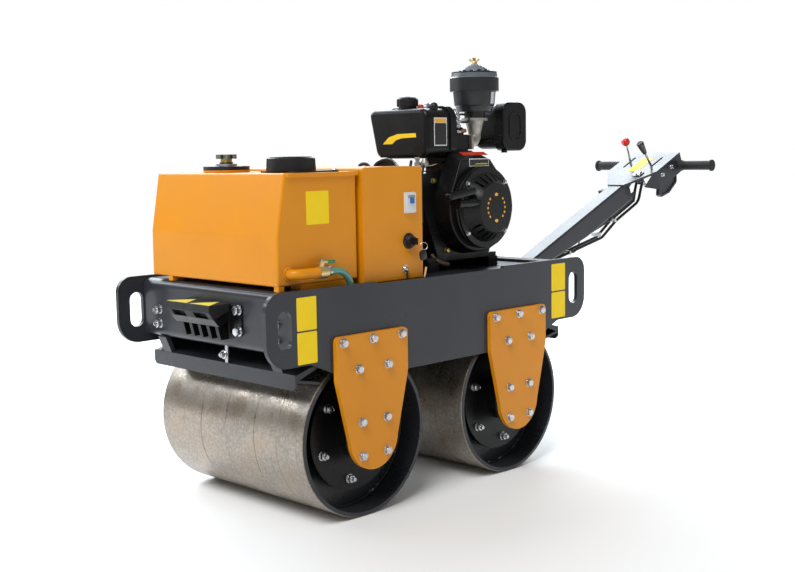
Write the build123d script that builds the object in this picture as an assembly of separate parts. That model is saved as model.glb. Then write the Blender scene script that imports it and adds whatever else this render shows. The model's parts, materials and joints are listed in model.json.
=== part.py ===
from build123d import *
import math
import os

# Walk-behind double drum road roller. Millimetres, +X forwards, +Y to the machine's left, +Z up.
# Pieces are modelled about the middle of the wheelbase on the ground, and moved at the end so that
# the origin lies under the middle of the whole machine.

# Drums
wheelbase = 580.0
drum_radius = 212.5
drum_width = 600.0
drum_wall = 12.0
drum_rim_round = 3.0
bulkhead_depth = 75.0
bulkhead_thickness = 8.0
hub_flange_radius = 150.0
hub_flange_thickness = 10.0
hub_flange_depth = 42.0
hub_spigot_radius = 95.0
hub_barrel_radius = 62.0
hub_barrel_proud = 3.0
axle_radius = 25.0
running_clearance = 0.05
axle_length = 58.0
carrier_radius = 78.0

# Side plates of the frame
plate_thickness = 12.0
plate_to_drum = 9.5
plate_half_length = 622.0
plate_top = 606.0
plate_bottom = 368.0
plate_notch_depth = 6.0
plate_notch_front = 261.0
plate_notch_rear = -240.0
plate_notch_slope = 4.0
belly_round = 40.0
lug_knee_round = 30.0
lug_bottom = 424.0
lug_length = 135.0
lug_slope = 130.0
lug_top_round = 42.0
lug_bottom_round = 62.0
slot_inset = 57.0
slot_z = 515.0
slot_height = 95.0
slot_width = 42.0

# Brackets that carry the drums
bracket_thickness = 12.0
bracket_half_width = 124.4
bracket_top = 481.6
bracket_knee = 370.0
bracket_foot_radius = 83.0
bracket_corner = 14.0
bracket_cheek = 60.0

# Cross members and deck
member_inset = 82.0
member_sheet = 8.0
member_bottom = 444.0
member_top = 600.0
member_flange = 70.0
member_bend = 20.0
deck_top = 592.0
deck_sheet = 8.0
deck_inset = 30.0
deck_rib_height = 40.0
deck_rib_x = 380.0
seat_gap = 0.3

# Scrapers and spray pipes
scraper_z = 400.0
scraper_inset = 20.0
scraper_sheet = 6.0
scraper_lip = 39.0
scraper_lip_chamfer = 9.0
scraper_end_gap = 9.0
scraper_drum_gap = 6.0
scraper_tip_drop = 28.0
scraper_cover_reach = 118.0
scraper_cover_rise = 31.0
scraper_fold = 14.0
hanger_inset = 74.5
hanger_width = 36.0
hanger_sheet = 14.0
hanger_lean = 20.0
spray_radius = 11.0
spray_x = 440.0
spray_z = 500.0
spray_end_gap = 23.5
spray_clip = 26.0

# Water tank
tank_inset = 43.5
tank_rear = 275.0
tank_top = 884.0
tank_top_front = 509.0
tank_crease_x = 536.0
tank_crease_z = 731.0
tank_front = 537.0
tank_bottom = 612.0
tank_round = 5.0
tank_lip = 6.0
tank_lip_height = 10.0
tank_runner_width = 40.0
filler_x = 408.0
filler_y = 172.0
filler_radius = 62.0
filler_height = 34.0
filler_plate = 145.0
filler_plate_sheet = 4.0
filler_plate_shift = 28.0
vent_x = 420.0
vent_y = -78.0
vent_boss_radius = 61.0
vent_boss_height = 6.5
vent_gasket = 10.0
vent_disc_radius = 28.0
vent_disc = 6.5
vent_washer_radius = 18.0
vent_washer = 4.0
vent_neck_radius = 15.0
vent_neck = 9.0
vent_knob = 11.5
vent_knob_radius = 16.0
vent_lobe_radius = 7.5
vent_lobe_reach = 21.5
vent_lobes = 6

# Water outlet
outlet_x = 504.0
outlet_standoff = 24.0
outlet_z = 641.0
outlet_radius = 13.0
outlet_end = 432.0
valve_length = 28.0
valve_wall = 3.0
valve_stem_radius = 7.0
valve_lever_rise = 22.0
valve_lever_reach = 26.0
valve_lever_width = 12.0
valve_lever_sheet = 5.0
hose_radius = 9.0
hose_bend = 50.0
hose_end_x = 322.0

# Equipment box
box_front = 265.0
box_rear = 48.0
box_inset = 30.5
box_bottom = 598.0
box_top = 893.0
box_round = 8.0
breaker_x = 97.5
breaker_z = 798.0
breaker_width = 37.0
breaker_height = 52.0
breaker_depth = 10.0
breaker_round = 3.0
toggle_width = 12.0
toggle_height = 14.0
toggle_proud = 5.0
toggle_lift = 5.0
key_x = 101.0
key_z = 697.0
key_radius = 17.0

# Wheel chock and its holder on the front cross member
chock_left = 80.0
chock_right = -104.0
chock_reach = 67.0
chock_top = 560.0
chock_nose = 18.0
chock_front_height = 42.0
chock_rear_height = 16.0
chock_pocket_width = 55.0
chock_pocket_height = 15.0
chock_pocket_depth = 22.0
chock_rib = 12.0
holder_thickness = 22.0
holder_front_gap = 13.0
holder_bevel = 16.0
holder_drop = 92.0
holder_flange_width = 48.0
holder_flange_height = 72.0
holder_flange_top = 558.0

# Engine
crank_x = -228.0
crank_z = 771.0
rail_front = -71.0
rail_rear = -367.0
rail_height = 28.0
rail_width = 40.0
rail_left = 190.0
rail_right = -190.0
foot_thickness = 12.0
flange_front = -44.0
flange_low_front = -107.0
flange_rear = -352.0
flange_low_rear = -330.0
flange_top = 880.0
flange_corner_top = 866.0
flange_knee = 800.0
flange_thickness = 9.0
flange_lip = 12.0
flange_shoulder_rear = 80.0
flange_shoulder_front = 110.0
case_right = -120.0
case_top = 838.0
case_cover_radius = 88.0
case_cover_depth = 18.0
case_boss_radius = 40.0
case_boss_depth = 30.0
pump_front = -22.0
pump_width = 62.0
pump_height = 84.0
pump_y = 96.0
ring_face_y = 262.0
ring_radius = 116.0
shroud_back_y = 190.0
shroud_front_y = 245.0
shroud_radius = 134.0
shroud_top = 930.0
shroud_top_front = -152.0
shroud_top_rear = -262.0
shroud_top_slope = 26.0
shroud_draft = 8.0
recoil_face_y = 305.0
recoil_radius = 73.5
recoil_base_radius = 114.0
recoil_base = 6.0
recoil_cone_radius = 98.0
recoil_slots = 24
recoil_slot_width = 8.0
recoil_slot_length = 30.0
recoil_slot_depth = 22.0
rope_guide_z = 787.0
rope_guide_y = 290.0
rope_guide_end = -80.0
rope_guide_radius = 13.0
grip_front = -36.0
grip_length = 110.0
grip_bottom = 804.0
grip_height = 20.0
grip_depth = 24.0
grip_tilt = 8.0
cylinder_x = -228.0
cylinder_y = 118.0
cylinder_size = 112.0
head_top = 958.0
head_half_height = 20.0
head_step = 16.0
rocker_height = 22.0
rocker_step = 16.0
fin_pitch = 14.0
fin_sheet = 4.0
fin_depth = 12.0
fuel_front = -56.0
fuel_rear = -150.0
fuel_left = 202.0
fuel_right = -32.0
fuel_right_low = 1.0
fuel_bottom = 912.0
fuel_top = 1050.0
fuel_round = 28.0
fuel_strap = 22.0
fuel_strap_proud = 8.0
fuel_cap_y = 83.0
fuel_cap_radius = 30.0
fuel_neck_radius = 25.0
fuel_neck = 8.0
fuel_cap_top = 1083.0
cleaner_x = -315.0
cleaner_y = 150.0
cleaner_bottom = 1026.0
cleaner_neck_radius = 30.0
cleaner_bowl_bottom = 1044.0
cleaner_bowl_radius = 50.0
cleaner_body_bottom = 1062.0
cleaner_body_low_radius = 58.5
cleaner_body_radius = 62.5
cleaner_collar_radius = 71.5
cleaner_collar_bottom = 1103.0
cleaner_collar_top = 1141.0
cleaner_brim_radius = 66.0
cleaner_brim = 1156.0
cleaner_dome_radius = 43.0
cleaner_dome_bottom = 1160.0
cleaner_top = 1183.0
cleaner_stud_radius = 5.0
cleaner_nut_top = 1200.0
elbow_radius = 18.0
elbow_z = 958.0
elbow_flange_radius = 39.0
elbow_flange = 8.0
elbow_throat_radius = 28.0
elbow_throat = 46.0
muffler_front = -386.0
muffler_rear = -496.0
muffler_bottom = 929.0
muffler_top = 1073.0
muffler_left = 200.0
muffler_right = 70.0
muffler_round = 32.0
muffler_shield = 37.0
muffler_shield_gap = 3.0
muffler_bead_width = 56.0
muffler_bead_height = 88.0
muffler_bead = 4.0
muffler_drain_x = -409.0
muffler_drain_radius = 9.0
muffler_drain = 5.0
exhaust_y = 84.0
exhaust_radius = 14.0
tailpipe_z = 1016.0
tailpipe_radius = 17.0
tailpipe_bore_radius = 14.5
tailpipe_length = 42.0
guard_left = -150.0
guard_right = -214.0
guard_radius = 92.0
guard_low_x = -96.0
guard_low_z = 732.0

# Steering handle, in a frame of its own at the pivot: u runs up the arm, w is square to its top
pivot_behind_member = 60.0
pivot_z = 490.0
arm_angle = 23.65
arm_half_width = 31.0
arm_top = 19.0
arm_depth = 50.0
arm_full_depth = 72.0
arm_taper_start = 230.0
arm_taper_end = 460.0
keel_sheet = 7.0
keel_drop = 32.0
pin_radius = 12.0
barrel_radius = 28.0
ear_gap = 2.0
ear_thickness = 10.0
ear_radius = 40.0
stop_u = 18.0
stop_half_length = 12.0
stop_depth = 14.0
console_taper_u = 725.0
console_wide_u = 839.0
console_end_u = 1007.0
console_half_width = 105.0
console_depth = 66.0
console_sheet = 3.0
console_slot_front = 873.0
console_slot_rear = 963.0
console_slot_width = 9.0
console_slot_y = 58.0
console_nose_length = 49.0
console_nose_low = 37.0
console_nose_high = 5.0
guard_front_u = 826.0
guard_rear_u = 966.0
guard_bottom_w = -88.0
guard_tuck = 12.0
guard_thickness = 14.0
guard_rim = 7.0
guard_recess = 5.0
guard_front_lean = 18.0
guard_front_step = 21.0
guard_toe = 12.0
guard_toe_rise = 8.0
guard_heel = 74.0
guard_rear_lean = 13.0
guard_rear_step = 15.0
bar_u = 975.0
bar_w = -17.0
bar_radius = 12.0
grip_start = 119.0
grip_end = 250.0
grip_radius = 16.5
grip_flange_radius = 20.5
grip_flange = 8.0
throttle_u = 923.0
throttle_ball_w = 103.0
throttle_ball_radius = 16.0
travel_u = 882.0
travel_knob_low = 66.0
travel_knob_length = 50.0
travel_lean = 18.5
rod_radius = 4.0
button_u = 816.0
button_y = 41.0
button_radius = 16.0
cable_radius = 5.0
cable_gland_u = 190.0
cable_spread = 12.0
cable_bend = 45.0
cable_rise = 60.0
cable_sag = 48.0

axle_z = drum_radius
half_base = wheelbase / 2
plate_inner = drum_width / 2 + plate_to_drum
plate_outer = plate_inner + plate_thickness
bracket_outer = plate_outer + bracket_thickness
hub_face = drum_width / 2 - hub_flange_depth
hub_end = drum_width / 2 + hub_barrel_proud
slot_x = plate_half_length - slot_inset
lug_inner_x = plate_half_length - lug_length
belly_x = lug_inner_x - lug_slope
member_x = plate_half_length - member_inset
deck_half_length = member_x - deck_inset
scraper_x = member_x - scraper_inset
scraper_half_width = plate_inner - scraper_end_gap
hanger_y = plate_inner - hanger_inset
spray_half_length = plate_inner - spray_end_gap
tank_half_width = plate_inner - tank_inset
outlet_y = tank_half_width + outlet_standoff
box_half_width = plate_inner - box_inset
chock_front = member_x + chock_reach
foot_top = deck_top + rail_height + foot_thickness
pivot_x = -member_x - pivot_behind_member


def box(x0, x1, y0, y1, z0, z1):
    centre = Pos((x0 + x1) / 2, (y0 + y1) / 2, (z0 + z1) / 2)
    return centre * Box(abs(x1 - x0), abs(y1 - y0), abs(z1 - z0))


def outline(points, radii):
    return make_face(FilletPolyline(*points, radius=radii, close=True))


def slab_xz(face, y0, y1):
    plane = Plane(origin=(0, max(y0, y1), 0), x_dir=(1, 0, 0), z_dir=(0, -1, 0))
    return extrude(plane * face, amount=abs(y1 - y0))


def slab_yz(face, x0, x1):
    plane = Plane(origin=(min(x0, x1), 0, 0), x_dir=(0, 1, 0), z_dir=(1, 0, 0))
    return extrude(plane * face, amount=abs(x1 - x0))


def slab_xy(face, z0, z1):
    return extrude(Pos(0, 0, min(z0, z1)) * face, amount=abs(z1 - z0))


def rod_y(x, z, y0, y1, radius):
    return Pos(x, (y0 + y1) / 2, z) * Rot(90, 0, 0) * Cylinder(radius, abs(y1 - y0))


def rod_x(y, z, x0, x1, radius):
    return Pos((x0 + x1) / 2, y, z) * Rot(0, 90, 0) * Cylinder(radius, abs(x1 - x0))


def rod_z(x, y, z0, z1, radius):
    return Pos(x, y, (z0 + z1) / 2) * Cylinder(radius, abs(z1 - z0))


def turned_y(x, z, profile):
    """A profile of (radius, y) points, turned about an axis along Y through x, z."""
    face = make_face(Polyline(*profile, close=True))
    return Pos(x, 0, z) * revolve(face, axis=Axis.Y)


def turned_z(x, y, profile):
    """A profile of (radius, z) points, turned about an upright axis through x, y."""
    face = make_face(Polyline(*[(r, 0, z) for r, z in profile], close=True))
    return Pos(x, y, 0) * revolve(face, axis=Axis.Z)


def tube(points, bend, radius, bore=0.0):
    path = FilletPolyline(*points, radius=bend)
    start = Plane(origin=path @ 0, z_dir=path % 0)
    solid = sweep(start * Circle(radius), path)
    if bore:
        solid -= sweep(start * Circle(bore), path)
    return solid


def other_side(part):
    return mirror(part, about=Plane.XZ)


# Drums

def drum_shell(x):
    half = drum_width / 2
    inner = drum_radius - drum_wall
    wall = turned_y(x, axle_z, [
        (inner, -half), (drum_radius - drum_rim_round, -half), (drum_radius, -half + drum_rim_round),
        (drum_radius, half - drum_rim_round), (drum_radius - drum_rim_round, half), (inner, half)])
    plate_y = half - bulkhead_depth
    for side in (1, -1):
        wall += turned_y(x, axle_z, [
            (hub_barrel_radius, side * (plate_y - bulkhead_thickness)),
            (inner, side * (plate_y - bulkhead_thickness)), (inner, side * plate_y),
            (hub_barrel_radius, side * plate_y)])
    return wall


def drum_hubs(x):
    bore = axle_radius + running_clearance
    bottom = hub_end - axle_length
    profile = [
        (0, bottom - 10), (hub_barrel_radius - seat_gap, bottom - 10),
        (hub_barrel_radius - seat_gap, drum_width / 2 - bulkhead_depth),
        (hub_spigot_radius, drum_width / 2 - bulkhead_depth),
        (hub_spigot_radius, hub_face - hub_flange_thickness),
        (hub_flange_radius, hub_face - hub_flange_thickness), (hub_flange_radius, hub_face),
        (hub_barrel_radius, hub_face), (hub_barrel_radius, hub_end), (bore, hub_end),
        (bore, bottom), (0, bottom)]
    left = turned_y(x, axle_z, profile)
    return Compound([left, other_side(left)])


def axle_carriers():
    solids = []
    for x in (half_base, -half_base):
        left = rod_y(x, axle_z, plate_inner, plate_outer, carrier_radius)
        left += rod_y(x, axle_z, hub_end - axle_length + 3, plate_inner, axle_radius)
        solids += [left, other_side(left)]
    return Compound(solids)


# Frame

def side_plate():
    notch = plate_top - plate_notch_depth
    points = [
        (-plate_half_length, plate_top), (plate_notch_rear, plate_top),
        (plate_notch_rear + plate_notch_slope, notch), (plate_notch_front - plate_notch_slope, notch),
        (plate_notch_front, plate_top), (plate_half_length, plate_top),
        (plate_half_length, lug_bottom), (lug_inner_x, lug_bottom), (belly_x, plate_bottom),
        (-belly_x, plate_bottom), (-lug_inner_x, lug_bottom), (-plate_half_length, lug_bottom)]
    upper = [lug_top_round, 0, 0, 0, 0, lug_top_round]
    lower = [lug_bottom_round, lug_knee_round, belly_round, belly_round, lug_knee_round, lug_bottom_round]
    face = outline(points, upper + lower)
    for x in (slot_x, -slot_x):
        face -= Pos(x, slot_z) * SlotOverall(slot_height, slot_width, rotation=90)
    return slab_xz(face, plate_inner, plate_outer)


def drum_bracket(x):
    top = bracket_top - axle_z
    knee = bracket_knee - axle_z
    foot = bracket_foot_radius
    body = outline(
        [(-bracket_half_width, top), (bracket_half_width, top), (bracket_half_width, knee),
         (foot, -6), (-foot, -6), (-bracket_half_width, knee)],
        [bracket_corner, bracket_corner, bracket_cheek, 0, 0, bracket_cheek])
    face = body + Circle(foot)
    return slab_xz(Pos(x, axle_z) * face, plate_outer, bracket_outer)


def cross_member(end):
    half = plate_inner
    web = member_x
    inner = member_x - member_sheet
    points = [
        (web - member_flange, member_top), (web, member_top), (web, member_bottom),
        (web - member_flange / 2, member_bottom), (web - member_flange / 2, member_bottom + member_sheet),
        (inner, member_bottom + member_sheet), (inner, member_top - member_sheet),
        (web - member_flange, member_top - member_sheet)]
    bend = member_bend
    face = outline(points, [0, bend, bend, 0, 0, bend - member_sheet, bend - member_sheet, 0])
    solid = slab_xz(face, -half, half)
    return solid if end > 0 else mirror(solid, about=Plane.YZ)


def engine_deck():
    deck = box(-deck_half_length, deck_half_length, -plate_inner, plate_inner, deck_top - deck_sheet, deck_top)
    under = deck_top - deck_sheet
    for x in (deck_rib_x, 0, -deck_rib_x):
        deck += box(x - deck_sheet / 2, x + deck_sheet / 2, -plate_inner, plate_inner,
                    under - deck_rib_height, under)
    return deck - rod_z(hose_end_x, outlet_y, under - 1, deck_top + 1, hose_radius + 3)


def scraper(end):
    """Blade, front lip, the cover that keeps dirt off the drum's top, and two leaning hangers."""
    reach = drum_radius + scraper_drum_gap
    tip_z = scraper_z - scraper_tip_drop
    tip_x = half_base + math.sqrt(reach ** 2 - (tip_z - axle_z) ** 2) + 1
    sheet = scraper_sheet
    inner = scraper_x - sheet
    face = make_face(Polyline(
        (tip_x, tip_z), (inner - sheet, scraper_z - scraper_fold),
        (scraper_x - scraper_cover_reach, scraper_z + scraper_cover_rise - sheet),
        (scraper_x - scraper_cover_reach, scraper_z + scraper_cover_rise),
        (inner, scraper_z), (scraper_x, scraper_z), (scraper_x, scraper_z - scraper_lip),
        (inner, scraper_z - scraper_lip), (inner, scraper_z - scraper_fold - sheet),
        (tip_x + 4, tip_z - sheet), close=True))
    bar = slab_xz(face, -scraper_half_width, scraper_half_width)
    corner = scraper_lip_chamfer
    for side in (1, -1):
        cut = make_face(Polyline(
            (side * (scraper_half_width - corner), scraper_z - scraper_lip),
            (side * scraper_half_width, scraper_z - scraper_lip + corner),
            (side * (scraper_half_width + 1), scraper_z - scraper_lip - 1), close=True))
        bar -= slab_yz(cut, inner - 1, scraper_x + 1)
    front = member_x - 2
    low = scraper_z - sheet / 2
    hanger = make_face(Polyline(
        (front, member_bottom), (front - hanger_lean, low), (front - hanger_lean - hanger_sheet, low),
        (front - hanger_sheet, member_bottom), close=True))
    for y in (hanger_y, -hanger_y):
        bar += slab_xz(hanger, y - hanger_width / 2, y + hanger_width / 2)
    return bar if end > 0 else mirror(bar, about=Plane.YZ)


def spray_pipes():
    solids = []
    top = deck_top - deck_sheet
    for x in (spray_x, -spray_x):
        pipe = rod_y(x, spray_z, -spray_half_length, spray_half_length, spray_radius)
        for y in (hanger_y, -hanger_y):
            pipe += box(x - spray_clip / 2, x + spray_clip / 2, y - spray_clip / 2, y + spray_clip / 2,
                        spray_z, top)
        solids.append(pipe)
    return Compound(solids)


# Water tank and what is on it

def water_tank():
    face = make_face(Polyline(
        (tank_rear, tank_bottom), (tank_front, tank_bottom), (tank_crease_x, tank_crease_z),
        (tank_top_front, tank_top), (tank_rear, tank_top), close=True))
    tank = slab_xz(face, -tank_half_width, tank_half_width)
    tank = fillet(tank.edges(), tank_round)
    lip = box(tank_rear - tank_lip, tank_top_front - tank_round, -tank_half_width - tank_lip,
              tank_half_width + tank_lip, tank_top - tank_lip_height, tank_top)
    tank += fillet(lip.edges().filter_by(Axis.Z), tank_round)
    for y in (tank_half_width - tank_runner_width, -tank_half_width):
        tank += box(tank_rear + 20, member_x - member_flange - 5, y, y + tank_runner_width,
                    deck_top, tank_bottom)
    return tank


def filler_cap():
    plate_x = filler_x - filler_plate_shift
    z0 = tank_top
    z1 = z0 + filler_plate_sheet
    half = filler_plate / 2
    plate = slab_xy(Pos(plate_x, filler_y) * RectangleRounded(filler_plate, filler_plate, 10), z0, z1)
    top = z1 + filler_height
    cap = turned_z(filler_x, filler_y, [
        (0, z1), (filler_radius, z1), (filler_radius - 1.5, top - 3), (filler_radius - 5, top), (0, top)])
    return plate + cap


def vent_cap():
    """Boss, gasket, disc, washer and neck as one stack, with a lobed knob on top."""
    steps = [(vent_boss_radius, vent_boss_height), (vent_boss_radius, vent_gasket),
             (vent_disc_radius, vent_disc), (vent_washer_radius, vent_washer), (vent_neck_radius, vent_neck)]
    z = tank_top
    stack = None
    for radius, height in steps:
        step = rod_z(vent_x, vent_y, z, z + height, radius)
        stack = step if stack is None else stack + step
        z += height
    face = Circle(vent_knob_radius)
    for n in range(vent_lobes):
        turn = 2 * math.pi * n / vent_lobes
        face += Pos(vent_lobe_reach * math.cos(turn), vent_lobe_reach * math.sin(turn)) * Circle(vent_lobe_radius)
    return stack + slab_xy(Pos(vent_x, vent_y) * face, z, z + vent_knob)


def outlet_pipe():
    points = [(outlet_x, tank_half_width, outlet_z), (outlet_x, outlet_y, outlet_z),
              (outlet_end, outlet_y, outlet_z)]
    return tube(points, outlet_y - tank_half_width - 1, outlet_radius)


def outlet_valve():
    x1 = outlet_end
    x0 = outlet_end - valve_length
    stem_x = (x0 + x1) / 2
    low = outlet_z + valve_lever_rise
    body = rod_x(outlet_y, outlet_z, x0, x1, outlet_radius + valve_wall)
    body += rod_z(stem_x, outlet_y, outlet_z, low + valve_lever_sheet - 1, valve_stem_radius)
    return body + box(x0 - valve_lever_reach, stem_x + valve_stem_radius + 1, outlet_y - valve_lever_width / 2,
                      outlet_y + valve_lever_width / 2, low, low + valve_lever_sheet)


def water_hose():
    start = outlet_end - valve_length
    points = [(start, outlet_y, outlet_z), (hose_end_x, outlet_y, outlet_z),
              (hose_end_x, outlet_y, deck_top - deck_sheet - 40)]
    return tube(points, hose_bend, hose_radius)


# Equipment box

def equipment_box():
    body = box(box_rear, box_front, -box_half_width, box_half_width, box_bottom, box_top)
    body = fillet(body.edges().filter_by(Axis.Y).group_by(Axis.Z)[-1], box_round)
    for y in (box_half_width - 60, -box_half_width + 20):
        body += box(box_rear + 15, box_front - 15, y, y + 40, deck_top, box_bottom)
    return body


def main_breaker():
    y = box_half_width
    body = box(breaker_x - breaker_width / 2, breaker_x + breaker_width / 2, y, y + breaker_depth,
               breaker_z - breaker_height / 2, breaker_z + breaker_height / 2)
    face = y + breaker_depth
    middle = breaker_z + toggle_lift
    body = fillet(body.faces().sort_by(Axis.Y)[-1].edges(), breaker_round)
    return body + box(breaker_x - toggle_width / 2, breaker_x + toggle_width / 2, face, face + toggle_proud,
                      middle - toggle_height / 2, middle + toggle_height / 2)


def key_switch():
    y = box_half_width
    body = turned_y(key_x, key_z, [
        (0, y), (key_radius + 4, y), (key_radius + 4, y + 3), (key_radius, y + 5),
        (key_radius - 3, y + 16), (0, y + 16)])
    return body + box(key_x - 1.5, key_x + 1.5, y + 16, y + 34, key_z - 9, key_z + 9)


# Wheel chock

def chock_base(x):
    """Height of the tray that the chock lies on, at x."""
    share = (x - member_x) / (chock_front - member_x)
    return chock_top - chock_rear_height - share * (chock_front_height - chock_rear_height)


def wheel_chock():
    low = chock_base(chock_front - holder_front_gap)
    face = make_face(Polyline(
        (member_x, chock_top), (chock_front, chock_top), (chock_front, chock_top - chock_nose),
        (chock_front - holder_front_gap, low), (member_x, chock_base(member_x)), close=True))
    body = slab_xz(face, chock_right, chock_left)
    body = fillet(body.edges().filter_by(Axis.Y).group_by(Axis.Z)[-1].sort_by(Axis.X)[-1], 3)
    middle = (chock_left + chock_right) / 2
    for side in (1, -1):
        y = middle + side * (chock_left - chock_right) / 4
        body -= box(chock_front - chock_pocket_depth, chock_front + 1, y - chock_pocket_width / 2,
                    y + chock_pocket_width / 2, low + 1, low + 1 + chock_pocket_height)
    return body


def chock_holder():
    front = chock_front - holder_front_gap
    rear_z = chock_base(member_x)
    front_z = chock_base(front)
    tray = slab_xz(make_face(Polyline(
        (member_x, rear_z), (front, front_z), (front - holder_bevel, front_z - holder_thickness + 3),
        (member_x, rear_z - holder_thickness), close=True)), chock_right, chock_left)
    ribs = make_face(Polyline(
        (member_x, rear_z - holder_thickness), (front - holder_bevel - 4, front_z - holder_thickness + 5),
        (front - holder_bevel - 14, chock_top - holder_drop), (member_x, chock_top - holder_drop), close=True))
    count = 5
    pitch = (chock_left - chock_right - chock_rib - 24) / (count - 1)
    for n in range(count):
        y = chock_right + 12 + n * pitch
        tray += slab_xz(ribs, y, y + chock_rib)
    tray += box(member_x, member_x + 8, chock_right + 12, chock_left - 12,
                chock_top - holder_drop, rear_z - holder_thickness)
    flange = box(member_x, member_x + 5, chock_left, chock_left + holder_flange_width,
                 holder_flange_top - holder_flange_height, holder_flange_top)
    return tray + flange


# Engine

def engine_rails():
    """Two box tubes across the deck, under the engine's foot."""
    top = deck_top + rail_height
    solids = []
    for x in (rail_front, rail_rear + rail_width):
        solids.append(box(x - rail_width, x, rail_right, rail_left, deck_top, top))
    return Compound(solids)


def case_face(inset=0.0):
    return outline(
        [(flange_front - inset, flange_corner_top - inset), (flange_front - inset, flange_knee),
         (flange_low_front - inset, foot_top), (flange_low_rear + inset, foot_top),
         (flange_rear + inset, crank_z), (flange_rear + inset, flange_knee),
         (cylinder_x - flange_shoulder_rear, flange_top - inset),
         (cylinder_x + flange_shoulder_front, flange_top - inset)],
        [8, 60, 6, 12, 50, 40, 20, 14])


def crankcase():
    """Block with its flywheel flange on the left, its foot, the shaft cover and the injection pump."""
    flange_back = shroud_back_y - flange_thickness
    body = slab_xz(case_face(flange_lip), case_right, flange_back)
    body &= box(flange_rear, flange_front, case_right, flange_back, foot_top, case_top)
    body += slab_xz(case_face(), flange_back, shroud_back_y)
    body += box(rail_rear, rail_front, rail_right + 20, rail_left - 6, foot_top - foot_thickness, foot_top)
    cover = rod_y(crank_x, crank_z - 14, case_right - case_cover_depth, case_right, case_cover_radius)
    cover += rod_y(crank_x, crank_z - 14, case_right - case_boss_depth, case_right - case_cover_depth,
                   case_boss_radius)
    pump = box(flange_front - 60, pump_front, pump_y - pump_width / 2, pump_y + pump_width / 2,
               crank_z - pump_height / 2, crank_z + pump_height / 2)
    pump = fillet(pump.edges().filter_by(Axis.Z), 14)
    pump += rod_z(pump_front - 26, pump_y, crank_z + pump_height / 2, crank_z + pump_height / 2 + 26, 15)
    return body + cover + pump


def cylinder():
    """Finned barrel, head and rocker cover."""
    half = cylinder_size / 2 - fin_depth
    z = case_top
    centre = Pos(cylinder_x, cylinder_y)
    core = box(cylinder_x - half, cylinder_x + half, cylinder_y - half, cylinder_y + half, z, head_top)
    fins = int((head_top - head_half_height - z) // fin_pitch)
    for n in range(fins):
        z0 = z + 6 + n * fin_pitch
        core += slab_xy(centre * RectangleRounded(cylinder_size, cylinder_size, 16), z0, z0 + fin_sheet)
    head = cylinder_size - head_step
    core += slab_xy(centre * RectangleRounded(head, head, 12),
                    head_top - head_half_height, head_top + head_half_height)
    rocker = slab_xy(centre * RectangleRounded(head - rocker_step, head - rocker_step, 18),
                     head_top + head_half_height, head_top + head_half_height + rocker_height)
    return core + fillet(rocker.faces().sort_by(Axis.Z)[-1].edges(), 8)


def tangent_corner(x, side):
    """Where the line from the duct's top corner at x, touching the fan's circle, meets the circle's lowest level."""
    rise = shroud_top - crank_z
    away = math.hypot(x - crank_x, rise)
    turn = math.atan2(x - crank_x, rise) + side * math.acos(shroud_radius / away)
    drop = shroud_top - crank_z + shroud_radius
    return (x + drop * math.cos(turn) / math.sin(turn), crank_z - shroud_radius)


def shroud_face():
    """The fan duct's outline: the circle round the fan, drawn up to the narrow top at the cylinder."""
    arc = shroud_radius - 2
    return outline(
        [(shroud_top_rear, shroud_top), (shroud_top_front, shroud_top),
         tangent_corner(shroud_top_front, 1), tangent_corner(shroud_top_rear, -1)],
        [24, 14, arc, arc])


def blower_housing():
    """Drafted duct and volute, cut back at the top, with the round starter seat in front."""
    depth = shroud_front_y - shroud_back_y
    duct = extrude(Plane(origin=(0, shroud_back_y, 0), x_dir=(-1, 0, 0), z_dir=(0, 1, 0))
                   * mirror(shroud_face(), about=Plane.YZ), amount=depth, taper=shroud_draft)
    low = shroud_top - shroud_top_slope
    wedge = make_face(Polyline(
        (shroud_back_y, shroud_top), (shroud_front_y + 1, low), (shroud_front_y + 1, shroud_top + 5),
        (shroud_back_y, shroud_top + 5), close=True))
    duct -= slab_yz(wedge, shroud_top_rear - 20, shroud_top_front + 20)
    duct = fillet(duct.faces().sort_by(Axis.Y)[-1].edges(), 5)
    ring = turned_y(crank_x, crank_z, [
        (0, shroud_back_y + 5), (ring_radius, shroud_back_y + 5), (ring_radius, ring_face_y - 4),
        (ring_radius - 4, ring_face_y), (0, ring_face_y)])
    return duct + ring


def recoil_starter():
    """Slotted cone with a flat cap, a rope guide and the pull grip parked on it."""
    base = ring_face_y + recoil_base
    body = turned_y(crank_x, crank_z, [
        (0, ring_face_y), (recoil_base_radius, ring_face_y), (recoil_base_radius, base),
        (recoil_cone_radius, base), (recoil_radius, recoil_face_y - 5), (recoil_radius - 4, recoil_face_y),
        (0, recoil_face_y)])
    middle = (recoil_cone_radius + recoil_radius) / 2
    slot = Box(recoil_slot_width, recoil_slot_depth, recoil_slot_length)
    for n in range(recoil_slots):
        turn = 360 * (n + 0.5) / recoil_slots
        if 45 < turn < 120:
            continue
        place = Pos(crank_x, (base + recoil_face_y) / 2 + 3, crank_z) * Rot(0, turn, 0)
        body -= place * Pos(0, 0, middle) * Rot(35, 0, 0) * slot
    body += rod_x(rope_guide_y, rope_guide_z, crank_x + recoil_radius - 12, rope_guide_end, rope_guide_radius)
    body += rod_z(rope_guide_end - 16, rope_guide_y, rope_guide_z, grip_bottom + 6, 8)
    grip = fillet(Box(grip_length, grip_depth, grip_height).edges(), 7)
    middle_x = grip_front - grip_length / 2
    return body + Pos(middle_x, rope_guide_y + 4, grip_bottom + grip_height / 2) * Rot(0, grip_tilt, 0) * grip


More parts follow.
